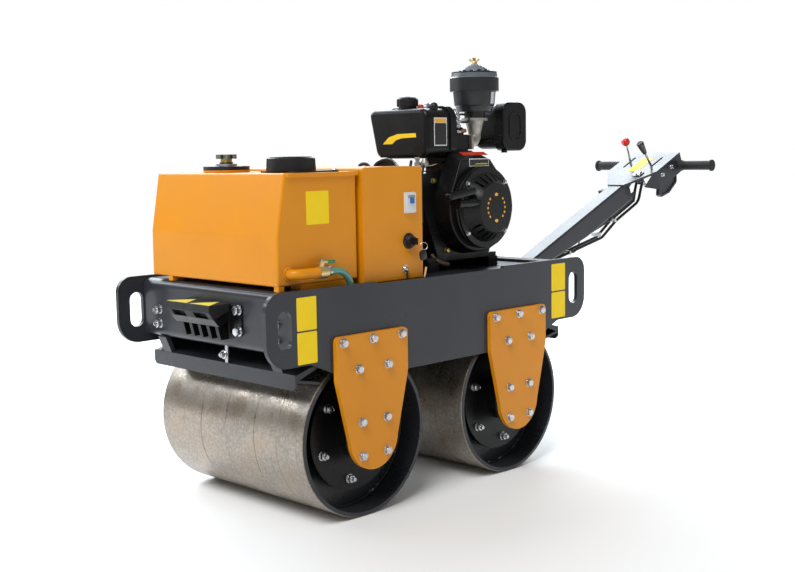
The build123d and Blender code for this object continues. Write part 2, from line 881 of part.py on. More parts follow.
def fuel_tank():
    """Pressed tank whose right side leans in downwards, with the strap behind it and its foot on the head."""
    def section(grow):
        return outline(
            [(fuel_left + grow / 2, fuel_top + grow), (fuel_right - grow, fuel_top + grow),
             (fuel_right_low - grow, fuel_bottom), (fuel_left + grow / 2, fuel_bottom)],
            [fuel_round + grow, 18, fuel_round, fuel_round])
    body = slab_yz(section(0), fuel_rear, fuel_front)
    body = fillet(body.faces().sort_by(Axis.X)[-1].edges(), 12)
    body += slab_yz(section(fuel_strap_proud), fuel_rear - fuel_strap, fuel_rear)
    notch = box(fuel_rear - fuel_strap - 1, shroud_top_front + 16, shroud_back_y - 3, fuel_left + 20,
                fuel_bottom - 1, shroud_top + 3)
    half = (cylinder_size - head_step) / 2
    foot = box(cylinder_x + half, fuel_rear - fuel_strap, cylinder_y - half + 14, cylinder_y + half - 14,
               head_top - head_half_height + 4, head_top + head_half_height - 4)
    return body - notch + foot


def fuel_cap():
    x = (fuel_front + fuel_rear) / 2
    skirt = fuel_top + fuel_neck
    return turned_z(x, fuel_cap_y, [
        (0, fuel_top), (fuel_neck_radius, fuel_top), (fuel_neck_radius, skirt), (fuel_cap_radius, skirt),
        (fuel_cap_radius, fuel_cap_top - 4), (fuel_cap_radius - 4, fuel_cap_top), (0, fuel_cap_top)])


def air_cleaner():
    """Bowl, tapered body, collar, sloped brim and a domed top with a stud."""
    rise = cleaner_top - cleaner_dome_bottom
    middle = (0.72 * cleaner_dome_radius, cleaner_dome_bottom + 0.62 * rise)
    side = Polyline(
        (0, cleaner_bottom), (cleaner_neck_radius, cleaner_bottom), (cleaner_neck_radius, cleaner_bowl_bottom),
        (cleaner_bowl_radius, cleaner_bowl_bottom), (cleaner_body_low_radius - 3, cleaner_body_bottom - 2),
        (cleaner_body_low_radius, cleaner_body_bottom), (cleaner_body_radius, cleaner_collar_bottom),
        (cleaner_collar_radius, cleaner_collar_bottom), (cleaner_collar_radius, cleaner_collar_top),
        (cleaner_collar_radius - 4, cleaner_collar_top + 4), (cleaner_brim_radius, cleaner_brim),
        (cleaner_brim_radius, cleaner_brim + 3), (cleaner_dome_radius, cleaner_dome_bottom))
    dome = ThreePointArc((cleaner_dome_radius, cleaner_dome_bottom), middle, (cleaner_stud_radius, cleaner_top))
    top = Polyline((cleaner_stud_radius, cleaner_top), (cleaner_stud_radius, cleaner_nut_top),
                   (0, cleaner_nut_top), (0, cleaner_bottom))
    face = Plane.XZ * make_face(side + dome + top)
    return Pos(cleaner_x, cleaner_y, 0) * revolve(face, axis=Axis.Z)


def intake_elbow():
    """Cast elbow from the head's rear face up to the flange under the air cleaner."""
    head_rear = cylinder_x - (cylinder_size - head_step) / 2
    throat = cleaner_bottom - elbow_throat
    points = [(head_rear, cleaner_y, elbow_z), (cleaner_x, cleaner_y, elbow_z), (cleaner_x, cleaner_y, throat)]
    body = tube(points, elbow_radius + 2, elbow_radius)
    body += turned_z(cleaner_x, cleaner_y, [
        (0, throat - 1), (elbow_radius, throat - 1), (elbow_throat_radius, cleaner_bottom - elbow_flange),
        (elbow_flange_radius, cleaner_bottom - elbow_flange), (elbow_flange_radius, cleaner_bottom),
        (0, cleaner_bottom)])
    half = elbow_radius + 5
    return body + box(head_rear - elbow_flange, head_rear, cleaner_y - half, cleaner_y + half,
                      elbow_z - half, elbow_z + half - 4)


def muffler():
    """Rounded box behind a shield with a beaded face, piped to the head, with its outlet on the right."""
    width = muffler_front - muffler_rear
    height = muffler_top - muffler_bottom
    middle_x = (muffler_front + muffler_rear) / 2
    middle_z = (muffler_top + muffler_bottom) / 2
    place = Pos(middle_x, middle_z)
    gap = 2 * muffler_shield_gap
    body = slab_xz(place * RectangleRounded(width - gap, height - 2 * gap, muffler_round),
                   muffler_right, muffler_left - 6)
    body = fillet(body.faces().sort_by(Axis.Y)[0].edges(), 26)
    shield = slab_xz(place * RectangleRounded(width, height, muffler_round),
                     muffler_left - muffler_shield, muffler_left)
    shield = fillet(shield.faces().sort_by(Axis.Y)[-1].edges(), 5)
    inner = place * RectangleRounded(width - 6, height - 6, muffler_round - 3)
    shield -= slab_xz(inner, muffler_left - muffler_shield - 1, muffler_left - 12)
    inside = muffler_bead_width - 2 * muffler_bead
    bead = place * SlotOverall(muffler_bead_height, muffler_bead_width, rotation=90)
    bead -= place * SlotOverall(muffler_bead_height - 2 * muffler_bead, inside, rotation=90)
    body += shield + slab_xz(bead, muffler_left, muffler_left + 2)
    body += rod_z(muffler_drain_x, muffler_left - 16, muffler_bottom - muffler_drain, muffler_bottom + 2,
                  muffler_drain_radius)
    head_rear = cylinder_x - (cylinder_size - head_step) / 2
    body += rod_x(exhaust_y, elbow_z, muffler_front - 15, head_rear, exhaust_radius)
    tail_end = muffler_right - tailpipe_length
    body += rod_y(middle_x, tailpipe_z, tail_end, muffler_right + 10, tailpipe_radius)
    return body - rod_y(middle_x, tailpipe_z, tail_end - 1, muffler_right + 9, tailpipe_bore_radius)


def belt_guard():
    shaft_z = crank_z - 14
    run = Vector(guard_low_x - crank_x, guard_low_z - shaft_z)
    middle = Pos((guard_low_x + crank_x) / 2, (guard_low_z + shaft_z) / 2)
    turn = math.degrees(math.atan2(run.Y, run.X))
    face = middle * Rot(0, 0, turn) * SlotCenterToCenter(run.length, 2 * guard_radius)
    body = slab_xz(face, guard_right, guard_left)
    return fillet(body.faces().sort_by(Axis.Y)[0].edges(), 10)


# Steering handle

arm_frame = Location(Plane(
    origin=(pivot_x, 0, pivot_z),
    x_dir=(-math.cos(math.radians(arm_angle)), 0, math.sin(math.radians(arm_angle))),
    z_dir=(math.sin(math.radians(arm_angle)), 0, math.cos(math.radians(arm_angle)))))


def handle_pivot():
    ear_in = arm_half_width + ear_gap
    member = -member_x
    face = make_face(Polyline(
        (member, pivot_z + ear_radius), (pivot_x, pivot_z + ear_radius), (pivot_x, pivot_z - ear_radius),
        (member, pivot_z - ear_radius), close=True)) + Pos(pivot_x, pivot_z) * Circle(ear_radius)
    ear = slab_xz(face, ear_in, ear_in + ear_thickness)
    low = arm_top - arm_depth - seat_gap
    out = ear_in + ear_thickness
    ear += arm_frame * box(0, stop_u + stop_half_length, -out, -ear_in, low - stop_depth, 0)
    pivot = ear + other_side(ear)
    pivot += arm_frame * box(stop_u - stop_half_length, stop_u + stop_half_length, -out, out, low - stop_depth, low)
    pivot += rod_y(pivot_x, pivot_z, -ear_in - ear_thickness - 8, ear_in + ear_thickness + 8, pin_radius)
    return pivot


def handle_arm():
    """Box arm that deepens up to the console, with a keel plate under it that carries the cables."""
    length = console_taper_u + 40
    low = arm_top - arm_depth
    deep = arm_top - arm_full_depth
    side = make_face(Polyline(
        (0, low), (arm_taper_start, low), (arm_taper_end, deep), (length, deep), (length, arm_top), (0, arm_top),
        close=True))
    arm = slab_xz(side, -arm_half_width, arm_half_width)
    arm = fillet(arm.edges().filter_by(Axis.Y, reverse=True), 6)
    keel = make_face(Polyline(
        (arm_taper_end - 20, deep + 4), (arm_taper_end + 60, deep - keel_drop / 2),
        (console_taper_u - 60, deep - keel_drop), (console_wide_u - 30, deep - keel_drop),
        (console_wide_u - 5, deep), (length - 2, deep + 4), close=True))
    arm += slab_xz(keel, -keel_sheet / 2, keel_sheet / 2)
    arm += rod_y(0, 0, -arm_half_width, arm_half_width, barrel_radius)
    arm += box(cable_gland_u - 50, cable_gland_u, -20, 20, low - 18, low + 2)
    arm -= rod_y(0, 0, -arm_half_width - 1, arm_half_width + 1, pin_radius + running_clearance)
    return arm_frame * arm


def console_plan(grow=0.0):
    narrow = arm_half_width + console_sheet + seat_gap + grow
    wide = console_half_width + grow
    return make_face(Polyline(
        (console_taper_u, narrow), (console_wide_u, wide), (console_end_u + grow, wide),
        (console_end_u + grow, -wide), (console_wide_u, -wide), (console_taper_u, -narrow), close=True))


def console():
    low = arm_top - console_depth
    body = slab_xy(console_plan(), low, arm_top + console_sheet)
    inner = slab_xy(console_plan(-console_sheet), low - 1, arm_top)
    body -= inner
    nose = make_face(Polyline(
        (console_taper_u - 1, low - 1), (console_wide_u - 5, low - 1),
        (console_wide_u - console_nose_length, arm_top - console_nose_low),
        (console_wide_u - console_nose_length / 3, arm_top - console_nose_high),
        (console_taper_u - 1, arm_top - console_nose_high), close=True))
    body -= slab_xz(nose, -console_half_width - 1, console_half_width + 1)
    middle = (console_slot_front + console_slot_rear) / 2
    length = console_slot_rear - console_slot_front
    for y in (console_slot_y, -console_slot_y):
        body -= slab_xy(Pos(middle, y) * SlotOverall(length, console_slot_width), arm_top - 2, arm_top + 10)
        body -= rod_y(bar_u, bar_w, y, 2 * y, bar_radius + seat_gap)
    return arm_frame * body


def console_guard():
    """A rounded plate with a raised rim under each side of the console."""
    top = arm_top - console_depth + guard_tuck
    half = console_half_width - console_sheet - seat_gap
    solids = []
    def edge(inset):
        return outline(
            [(guard_front_u + guard_front_lean + inset, top - inset), (guard_rear_u - inset, top - inset),
             (guard_rear_u - guard_rear_lean - inset, guard_bottom_w + guard_rear_step + inset / 2),
             (guard_rear_u - guard_heel - inset, guard_bottom_w + inset),
             (guard_front_u + guard_toe + inset, guard_bottom_w + guard_toe_rise + inset),
             (guard_front_u + inset, guard_bottom_w + guard_front_step + inset)],
            [0, 0, 16, 16, 6, 4])
    for out in (1, -1):
        plate = slab_xz(edge(0), out * (half - guard_thickness), out * half)
        solids.append(plate - slab_xz(edge(guard_rim), out * (half - guard_recess), out * (half + 1)))
    return arm_frame * Compound(solids)


def handlebar():
    return arm_frame * rod_y(bar_u, bar_w, -grip_end + 4, grip_end - 4, bar_radius)


def grips():
    bore = bar_radius + seat_gap
    end = grip_end - grip_flange
    left = turned_y(bar_u, bar_w, [
        (bore, grip_start), (grip_flange_radius, grip_start), (grip_radius, grip_start + 14),
        (grip_radius, end - 2), (grip_flange_radius, end), (grip_flange_radius, grip_end - 2),
        (grip_flange_radius - 3, grip_end), (0, grip_end), (0, grip_end - 3.7), (bore, grip_end - 3.7)])
    return arm_frame * Compound([left, other_side(left)])


def throttle_lever():
    top = arm_top + console_sheet
    rod = rod_z(throttle_u, console_slot_y, top - 30, throttle_ball_w, rod_radius)
    return arm_frame * (rod + Pos(throttle_u, console_slot_y, throttle_ball_w) * Sphere(throttle_ball_radius))


def travel_lever():
    knob = turned_z(0, 0, [
        (0, -20), (rod_radius, -20), (rod_radius, travel_knob_low), (8, travel_knob_low),
        (13.5, travel_knob_low + travel_knob_length - 4), (10.5, travel_knob_low + travel_knob_length),
        (0, travel_knob_low + travel_knob_length)])
    place = Pos(travel_u, -console_slot_y, arm_top + console_sheet) * Rot(0, -travel_lean, 0)
    return arm_frame * (place * knob)


def start_button():
    top = arm_top + console_sheet
    return arm_frame * turned_z(button_u, -button_y, [
        (0, top), (button_radius, top), (button_radius, top + 6), (button_radius - 4, top + 10), (0, top + 10)])


def control_cables():
    """Two cables from the console, slung under the arm along its keel, to the gland at its foot."""
    deep = arm_top - arm_full_depth - cable_radius
    end = arm_top - arm_depth - cable_radius - 4
    solids = []
    for y in (cable_spread, -cable_spread):
        points = [(console_wide_u + cable_rise, y, arm_top - 20), (console_wide_u - 22, y, deep - cable_sag / 2 - 8),
                  (console_taper_u - 62, y, deep - cable_sag / 2 - 8), (arm_taper_end + 100, y, deep - cable_sag),
                  (arm_taper_start + 70, y, end - 12), (cable_gland_u + 15, y, end), (cable_gland_u, y, end)]
        solids.append(tube(points, cable_bend, cable_radius))
    return arm_frame * Compound(solids)


plate_left = side_plate()
nodes = {
    "side_plate_left": plate_left,
    "side_plate_right": other_side(plate_left),
    "front_cross_member": cross_member(1),
    "rear_cross_member": cross_member(-1),
    "engine_deck": engine_deck(),
    "axle_carriers": axle_carriers(),
    "front_scraper": scraper(1),
    "rear_scraper": scraper(-1),
    "spray_pipes": spray_pipes(),
    "water_tank": water_tank(),
    "filler_cap": filler_cap(),
    "vent_cap": vent_cap(),
    "outlet_pipe": outlet_pipe(),
    "outlet_valve": outlet_valve(),
    "water_hose": water_hose(),
    "equipment_box": equipment_box(),
    "main_breaker": main_breaker(),
    "key_switch": key_switch(),
    "wheel_chock": wheel_chock(),
    "chock_holder": chock_holder(),
    "engine_rails": engine_rails(),
    "crankcase": crankcase(),
    "cylinder": cylinder(),
    "blower_housing": blower_housing(),
    "recoil_starter": recoil_starter(),
    "fuel_tank": fuel_tank(),
    "fuel_cap": fuel_cap(),
    "air_cleaner": air_cleaner(),
    "intake_elbow": intake_elbow(),
    "muffler": muffler(),
    "belt_guard": belt_guard(),
    "handle_pivot": handle_pivot(),
    "handle_arm": handle_arm(),
    "console": console(),
    "console_guard": console_guard(),
    "handlebar": handlebar(),
    "grips": grips(),
    "throttle_lever": throttle_lever(),
    "travel_lever": travel_lever(),
    "start_button": start_button(),
    "control_cables": control_cables(),
}
for end, x in (("front", half_base), ("rear", -half_base)):
    bracket = drum_bracket(x)
    nodes["drum_bracket_" + end + "_left"] = bracket
    nodes["drum_bracket_" + end + "_right"] = other_side(bracket)
    nodes[end + "_drum"] = drum_shell(x)
    nodes[end + "_drum_hubs"] = drum_hubs(x)

boxes = [part.bounding_box() for part in nodes.values()]
middle_x = (min(b.min.X for b in boxes) + max(b.max.X for b in boxes)) / 2
print("the origin lies", round(-middle_x, 3), "mm behind the middle of the wheelbase")

os.makedirs("parts", exist_ok=True)
for name, part in nodes.items():
    export_step(Pos(-middle_x, 0, 0) * part, "parts/" + name + ".step")
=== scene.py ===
"""Walk-behind double drum road roller: finishes, small fittings and stage round the CAD frame."""
import json
import math
import random

import bmesh
import bpy
from bpy.props import FloatProperty, FloatVectorProperty, PointerProperty
from bpy.types import Operator, Panel, PropertyGroup
from mathutils import Matrix, Vector


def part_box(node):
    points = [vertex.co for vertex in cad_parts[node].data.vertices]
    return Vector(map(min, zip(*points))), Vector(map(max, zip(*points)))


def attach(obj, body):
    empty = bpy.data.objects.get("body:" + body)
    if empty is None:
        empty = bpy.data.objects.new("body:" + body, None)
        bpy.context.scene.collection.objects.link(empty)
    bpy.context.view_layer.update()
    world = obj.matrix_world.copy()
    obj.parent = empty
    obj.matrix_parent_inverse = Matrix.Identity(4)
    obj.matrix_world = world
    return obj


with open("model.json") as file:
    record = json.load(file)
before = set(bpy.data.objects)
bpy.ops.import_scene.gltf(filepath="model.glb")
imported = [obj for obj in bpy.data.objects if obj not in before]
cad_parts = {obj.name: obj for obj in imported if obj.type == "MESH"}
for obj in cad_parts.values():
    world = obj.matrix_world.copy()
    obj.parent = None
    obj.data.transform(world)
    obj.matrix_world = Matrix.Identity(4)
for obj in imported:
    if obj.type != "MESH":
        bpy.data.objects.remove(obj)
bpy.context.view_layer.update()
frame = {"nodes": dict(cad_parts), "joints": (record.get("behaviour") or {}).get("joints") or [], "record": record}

bl_info = {
    "name": "Double drum road roller",
    "version": (1, 0, 0),
    "blender": (4, 5, 0),
    "location": "3D View > Sidebar > Roller",
    "description": "Dresses the packed frame of a walk-behind road roller and lights it",
    "category": "Object",
}

MM = 0.001

# Places come from the frame: the drums' and the handle's hinges, and the boxes of the nodes.
HINGES = {joint["name"]: Vector(joint["pos_m"]) for joint in frame["joints"]}
FRONT_AXLE = HINGES["front_drum_spin"]
REAR_AXLE = HINGES["rear_drum_spin"]
PIVOT = HINGES["handle_fold"]
MIDDLE_X = (FRONT_AXLE.x + REAR_AXLE.x) / 2
ENDS = (("front", FRONT_AXLE), ("rear", REAR_AXLE))
# The drums stand on the ground, so the height of their axles is their radius.
DRUM_RADIUS = FRONT_AXLE.z
ARM_ANGLE = math.radians(23.65)
UP_ARM = Vector((-math.cos(ARM_ANGLE), 0, math.sin(ARM_ANGLE)))
OFF_ARM = Vector((math.sin(ARM_ANGLE), 0, math.cos(ARM_ANGLE)))

FORWARD, BACK = Vector((1, 0, 0)), Vector((-1, 0, 0))
LEFT, RIGHT = Vector((0, 1, 0)), Vector((0, -1, 0))
UP = Vector((0, 0, 1))

# Blender's noise lies nearly all between these two values.
NOISE_LOW, NOISE_HIGH = 0.3, 0.7


def at(x, y, z):
    """A point in millimetres about the middle of the wheelbase on the ground, as a place in the frame."""
    return Vector((MIDDLE_X + x * MM, y * MM, z * MM))


def on_arm(u, y, w):
    """A point u mm up the arm from its pivot and w mm off its middle, y mm to the machine's left."""
    return PIVOT + UP_ARM * (u * MM) + OFF_ARM * (w * MM) + LEFT * (y * MM)


def facing(place, normal, up=UP):
    """The matrix that takes +Z to the normal and +Y towards up, at a place."""
    z = normal.normalized()
    x = up.cross(z)
    if x.length < 1e-6:
        x = FORWARD.copy()
    x.normalize()
    turn = Matrix((x, z.cross(x), z)).transposed()
    return Matrix.Translation(place) @ turn.to_4x4()


class RollerStage(PropertyGroup):
    camera_place: FloatVectorProperty(
        name="Camera place", description="Where the camera stands in the frame",
        default=(2.76844, 2.4409, 0.9282), subtype="TRANSLATION", unit="LENGTH")
    view_azimuth: FloatProperty(
        name="Azimuth", description="Direction of view, from along +Y towards -X",
        default=math.radians(134.98), subtype="ANGLE")
    view_elevation: FloatProperty(
        name="Elevation", description="How far the view looks down",
        default=math.radians(6.4735), subtype="ANGLE")
    view_roll: FloatProperty(
        name="Roll", description="Turn of the camera about its view",
        default=math.radians(-0.94), subtype="ANGLE")
    lens: FloatProperty(
        name="Lens", description="Focal length on a 36 mm sensor", default=53.1, unit="CAMERA")
    sky: FloatProperty(name="Sky", description="Strength of the even white light", default=0.31, min=0)
    key: FloatProperty(name="Key", description="Strength of the wide key light", default=2.3, min=0)
    key_azimuth: FloatProperty(
        name="Key azimuth", description="Direction of the key light, from +X towards +Y",
        default=math.radians(24), subtype="ANGLE")
    key_height: FloatProperty(
        name="Key height", description="Elevation of the key light",
        default=math.radians(54), subtype="ANGLE")
    key_spread: FloatProperty(
        name="Key spread", description="Angle that the key light fills",
        default=math.radians(28), subtype="ANGLE")
    window: FloatProperty(
        name="Softbox", description="Power of the cool softbox on the far side", default=460, unit="POWER")
    drum_window: FloatProperty(
        name="Drum softbox", description="Power of the softbox that the front drum mirrors",
        default=56, unit="POWER")


class RollerColours(PropertyGroup):
    body: FloatVectorProperty(
        name="Body", description="Orange enamel of the tank, box and brackets, sRGB",
        default=(0.880, 0.560, 0.042), subtype="COLOR_GAMMA", min=0, max=1)
    chassis: FloatVectorProperty(
        name="Chassis", description="Graphite enamel of the frame and handle, sRGB",
        default=(0.192, 0.200, 0.222), subtype="COLOR_GAMMA", min=0, max=1)
    engine: FloatVectorProperty(
        name="Engine", description="Black enamel of the engine, sRGB",
        default=(0.055, 0.055, 0.058), subtype="COLOR_GAMMA", min=0, max=1)
    drum: FloatVectorProperty(
        name="Drum", description="Bare rolled steel of the drums, sRGB",
        default=(0.630, 0.598, 0.560), subtype="COLOR_GAMMA", min=0, max=1)
    sticker: FloatVectorProperty(
        name="Sticker", description="Yellow vinyl of the blank stickers, sRGB",
        default=(0.98, 0.835, 0.09), subtype="COLOR_GAMMA", min=0, max=1)


class RollerFittings(PropertyGroup):
    bolt_across: FloatProperty(
        name="Bolt", description="Width across the flats of the bracket bolts",
        default=19 * MM, unit="LENGTH")
    nut_across: FloatProperty(
        name="Nut", description="Width across the flats of the cross members' nuts",
        default=20 * MM, unit="LENGTH")
    small_across: FloatProperty(
        name="Small bolt", description="Width across the flats of the engine's bolts",
        default=13 * MM, unit="LENGTH")
    sticker_thickness: FloatProperty(
        name="Sticker", description="Thickness of a sticker as it is modelled",
        default=0.5 * MM, unit="LENGTH")


# Materials

def colour(value):
    """An sRGB hex string or three sRGB values as a linear colour."""
    if isinstance(value, str):
        value = [int(value[i:i + 2], 16) / 255 for i in (0, 2, 4)]
    return [c / 12.92 if c <= 0.04045 else ((c + 0.055) / 1.055) ** 2.4 for c in value] + [1.0]


def add(tree, kind, inputs=None, **settings):
    """Add a node: settings are its attributes, inputs are values or (node, output) links.

    A Map Range node reads from input 1 to input 2 and gives from input 3 to input 4.
    """
    made = tree.nodes.new("ShaderNode" + kind)
    for name, value in settings.items():
        setattr(made, name, value)
    for socket, value in (inputs or {}).items():
        if isinstance(value, tuple) and isinstance(value[0], bpy.types.Node):
            tree.links.new(value[0].outputs[value[1]], made.inputs[socket])
        else:
            made.inputs[socket].default_value = value
    return made


def begin(name):
    """A new material's tree and its shader."""
    made = bpy.data.materials.new(name)
    made.use_nodes = True
    tree = made.node_tree
    return tree, tree.nodes["Principled BSDF"]


def blend(tree, factor, low, high):
    """A mix of two colours, or of a colour and a link, by a linked factor."""
    return add(tree, "Mix", {0: factor, 6: low, 7: high}, data_type="RGBA")


def over_base(tree, shader, factor, tone):
    """Lay a tone over the shader's present base colour where the factor is 1."""
    base = shader.inputs["Base Color"].links[0].from_node
    mixed = blend(tree, factor, (base, 2), tone)
    tree.links.new(mixed.outputs[2], shader.inputs["Base Color"])


def finish_surface(tree, shader, coords, grain_mm, depth_mm, edge_mm=1.2):
    """Grain as a bump over softened edges."""
    edge = add(tree, "Bevel", {"Radius": edge_mm * MM}, samples=4)
    grain = add(tree, "TexNoise", {"Vector": coords, "Scale": 1 / (grain_mm * MM), "Detail": 3.0})
    bump = add(tree, "Bump", {"Strength": 1.0, "Distance": depth_mm * MM, "Height": (grain, 0),
                              "Normal": (edge, 0)})
    tree.links.new(bump.outputs[0], shader.inputs["Normal"])
    return edge


def edge_wear_and_highlight(tree, edge, low, high):
    """1 along edges, 0 on flats: how far the softened normal leaves the face's own."""
    true = add(tree, "NewGeometry")
    dot = add(tree, "VectorMath", {0: (edge, 0), 1: (true, "True Normal")}, operation="DOT_PRODUCT")
    return add(tree, "MapRange", {"Value": (dot, "Value"), 1: high, 2: low, 3: 0.0, 4: 1.0})


def cloudy_gloss(tree, shader, clouds, roughness, spread):
    """Roughness that wanders with the clouds, by the spread to each side."""
    rough = add(tree, "MapRange", {"Value": (clouds, 0), 1: NOISE_LOW, 2: NOISE_HIGH,
                                   3: roughness - spread, 4: roughness + spread})
    tree.links.new(rough.outputs[0], shader.inputs["Roughness"])


def enamel(name, base, shade, roughness, spread, coat, edge_wear_and_highlight_tone, specular, blotch_mm=140.0,
           grain_mm=3.0, depth_mm=0.02):
    """Sprayed and baked enamel: a smooth film with faint orange peel, thin on edges, whose edges are painted a
    paler tone that is partly wear and partly a painted highlight.
    """
    tree, shader = begin(name)
    coords = (add(tree, "TexCoord"), "Object")
    broad = add(tree, "TexNoise", {"Vector": coords, "Scale": 1 / (blotch_mm * MM), "Detail": 4.0})
    tone = blend(tree, (broad, 0), base, shade)
    edge = finish_surface(tree, shader, coords, grain_mm, depth_mm)
    # Edges take the pale edge tone: partly thin, worn film and partly a painted highlight.
    rim = edge_wear_and_highlight(tree, edge, 0.80, 0.99)
    faint = add(tree, "Math", {0: (rim, 0), 1: 0.35}, operation="MULTIPLY")
    tone = blend(tree, (faint, 0), (tone, 2), edge_wear_and_highlight_tone)
    tree.links.new(tone.outputs[2], shader.inputs["Base Color"])
    cloudy_gloss(tree, shader, broad, roughness, spread)
    shader.inputs["Specular IOR Level"].default_value = specular
    shader.inputs["Coat Weight"].default_value = coat
    shader.inputs["Coat Roughness"].default_value = 0.12


def plain(name, base, shade, roughness, spread=0.05, metallic=0.0, blotch_mm=30.0, grain_mm=1.5,
          depth_mm=0.03):
    """A solid material with a fine grain: moulded plastic, rubber, plating or bare metal."""
    tree, shader = begin(name)
    coords = (add(tree, "TexCoord"), "Object")
    broad = add(tree, "TexNoise", {"Vector": coords, "Scale": 1 / (blotch_mm * MM), "Detail": 5.0})
    tone = blend(tree, (broad, 0), base, shade)
    tree.links.new(tone.outputs[2], shader.inputs["Base Color"])
    cloudy_gloss(tree, shader, broad, roughness, spread)
    finish_surface(tree, shader, coords, grain_mm, depth_mm, edge_mm=0.6)
    shader.inputs["Metallic"].default_value = metallic
    return tree, shader


def orange_enamel(shades):
    # Baked orange enamel on steel sheet: even and satin, a little deeper where the film is thick.
    deep = [c * 0.93 for c in shades.body]
    enamel("orange_enamel", colour(shades.body), colour(deep), 0.36, 0.05, 0.05, colour("F6B45C"), 0.3)


def graphite_enamel(shades):
    # Graphite enamel on thick plate: satin, so that faces turned to the sky look almost white.
    deep = [c * 0.90 for c in shades.chassis]
    enamel("graphite_enamel", colour(shades.chassis), colour(deep), 0.32, 0.05, 0.12, colour("6C7078"),
           0.28, grain_mm=4.0, depth_mm=0.035)


def black_enamel(shades):
    # Black engine enamel over castings and pressings: glossy, with the casting's unevenness under it.
    deep = [c * 0.75 for c in shades.engine]
    enamel("black_enamel", colour(shades.engine), colour(deep), 0.30, 0.07, 0.0, colour("303034"),
           0.26, blotch_mm=60.0, grain_mm=6.0, depth_mm=0.06)


def zinc_plate():
    # Bright zinc on steel fasteners: pale, slightly cloudy metal.
    plain("zinc_plate", colour("D8DADC"), colour("A9ADB2"), 0.28, 0.08, metallic=1.0, blotch_mm=6.0)


def yellow_zinc():
    # Yellow passivated zinc on the engine's bolts: brassy with a green and purple cast.
    plain("yellow_zinc", colour("CDB463"), colour("8F8450"), 0.32, 0.08, metallic=1.0, blotch_mm=4.0)


def brass():
    # Turned brass of the neck, valve and wing nut: warm, dulled by handling.
    plain("brass", colour("C9A35A"), colour("8E7640"), 0.34, 0.1, metallic=1.0, blotch_mm=7.0)


def copper():
    # Drawn copper of the return union: warm and dulled.
    plain("copper", colour("C98A5E"), colour("8A5A3C"), 0.36, 0.1, metallic=1.0, blotch_mm=5.0)


def burnt_steel():
    # Mild steel pipe, heat tinted and lightly rusted.
    plain("burnt_steel", colour("8B7D6C"), colour("5B4436"), 0.5, 0.12, metallic=0.7, blotch_mm=9.0)


def worn_weld():
    # A ground weld painted over in black, with the steel bare on its crests.
    tree, shader = plain("worn_weld", colour("17181A"), colour("1C1D1F"), 0.4, 0.1)
    coords = (add(tree, "TexCoord"), "Object")
    patches = add(tree, "TexNoise", {"Vector": coords, "Scale": 1 / (14 * MM), "Detail": 3.0})
    bare = add(tree, "MapRange", {"Value": (patches, 0), 1: 0.60, 2: 0.66})
    over_base(tree, shader, (bare, 0), colour("C4C2BE"))
    tree.links.new(bare.outputs[0], shader.inputs["Metallic"])


def blue_nylon():
    # Moulded blue-black nylon of the switch body under the console.
    plain("blue_nylon", colour("1D2740"), colour("151B2C"), 0.38, 0.05)


def cast_aluminium():
    # Sand cast aluminium of the intake elbow: grey, matt and pebbled.
    plain("cast_aluminium", colour("B6B3AC"), colour("8B857B"), 0.5, 0.1, metallic=1.0, blotch_mm=18.0,
          grain_mm=2.0, depth_mm=0.15)


def black_abs():
    # Moulded ABS of caps and knobs: even black with a soft sheen.
    tree, shader = plain("black_abs", colour("101011"), colour("19191B"), 0.40, 0.06)
    shader.inputs["Specular IOR Level"].default_value = 0.4


def breaker_plastic():
    # Moulded polycarbonate of the breaker, light grey, with a blue toggle standing out of its face.
    tree, shader = plain("breaker_plastic", colour("D9DCDD"), colour("C6C9CB"), 0.4)
    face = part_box("main_breaker")[1].y - 4.8 * MM
    place = add(tree, "SeparateXYZ", {0: (add(tree, "TexCoord"), "Object")})
    toggle = add(tree, "Math", {0: (place, "Y"), 1: face}, operation="GREATER_THAN")
    over_base(tree, shader, (toggle, 0), colour("1D5FA8"))


def nitrile_rubber():
    # Moulded rubber of grips, chock and cables: matt black, slightly grey where it is handled.
    tree, shader = plain("nitrile_rubber", colour("18191A"), colour("232425"), 0.62, 0.08, grain_mm=1.2,
                         depth_mm=0.08)
    shader.inputs["Specular IOR Level"].default_value = 0.35


def hose_pvc():
    # Clear teal PVC hose with water behind it: glossy outside, milky in depth.
    tree, shader = plain("hose_pvc", colour("6FB5A4"), colour("4F9A8C"), 0.16, 0.04, blotch_mm=25.0)
    shader.inputs["Transmission Weight"].default_value = 0.35
    shader.inputs["IOR"].default_value = 1.52
    shader.inputs["Coat Weight"].default_value = 0.6


def sticker_vinyl(shades):
    # Printed vinyl stickers, blank: flat colour with a soft sheen.
    deep = [c * 0.95 for c in shades.sticker]
    tree, shader = plain("yellow_vinyl", colour(shades.sticker), colour(deep), 0.5, blotch_mm=40.0)
    shader.inputs["Specular IOR Level"].default_value = 0.25
    plain("pale_yellow_vinyl", colour("F8EC5C"), colour("EFE04E"), 0.35, blotch_mm=30.0)
    plain("white_vinyl", colour("E4E4E2"), colour("D6D6D4"), 0.35, blotch_mm=40.0)
    plain("black_vinyl", colour("141415"), colour("1C1C1E"), 0.3, blotch_mm=40.0)
    plain("red_vinyl", colour("D8341C"), colour("B72A17"), 0.35, blotch_mm=12.0)
    plain("amber_vinyl", colour("F0B21E"), colour("DDA018"), 0.35, blotch_mm=12.0)
    plain("green_vinyl", colour("2F8A5A"), colour("26724A"), 0.32, blotch_mm=12.0)
    plain("grey_vinyl", colour("8F9498"), colour("7D8286"), 0.35, blotch_mm=12.0)


# Hairlines of rust round each drum: place across it in mm, drift of the line in mm, darkness.
RUST_LINES = ((-122, 14, 0.8), (-11, 6, 0.65), (109, 8, 0.7), (200, 9, 0.5))
# A hairline is full this far to each side of its middle, and gone at the second distance.
LINE_FULL, LINE_GONE = 0.8 * MM, 2.4 * MM
# The film of paint on a drum's end stops this far inside the rim, give or take the ragged edge.
PAINT_EDGE, PAINT_RAGGED = DRUM_RADIUS - 1.5 * MM, 0.8 * MM


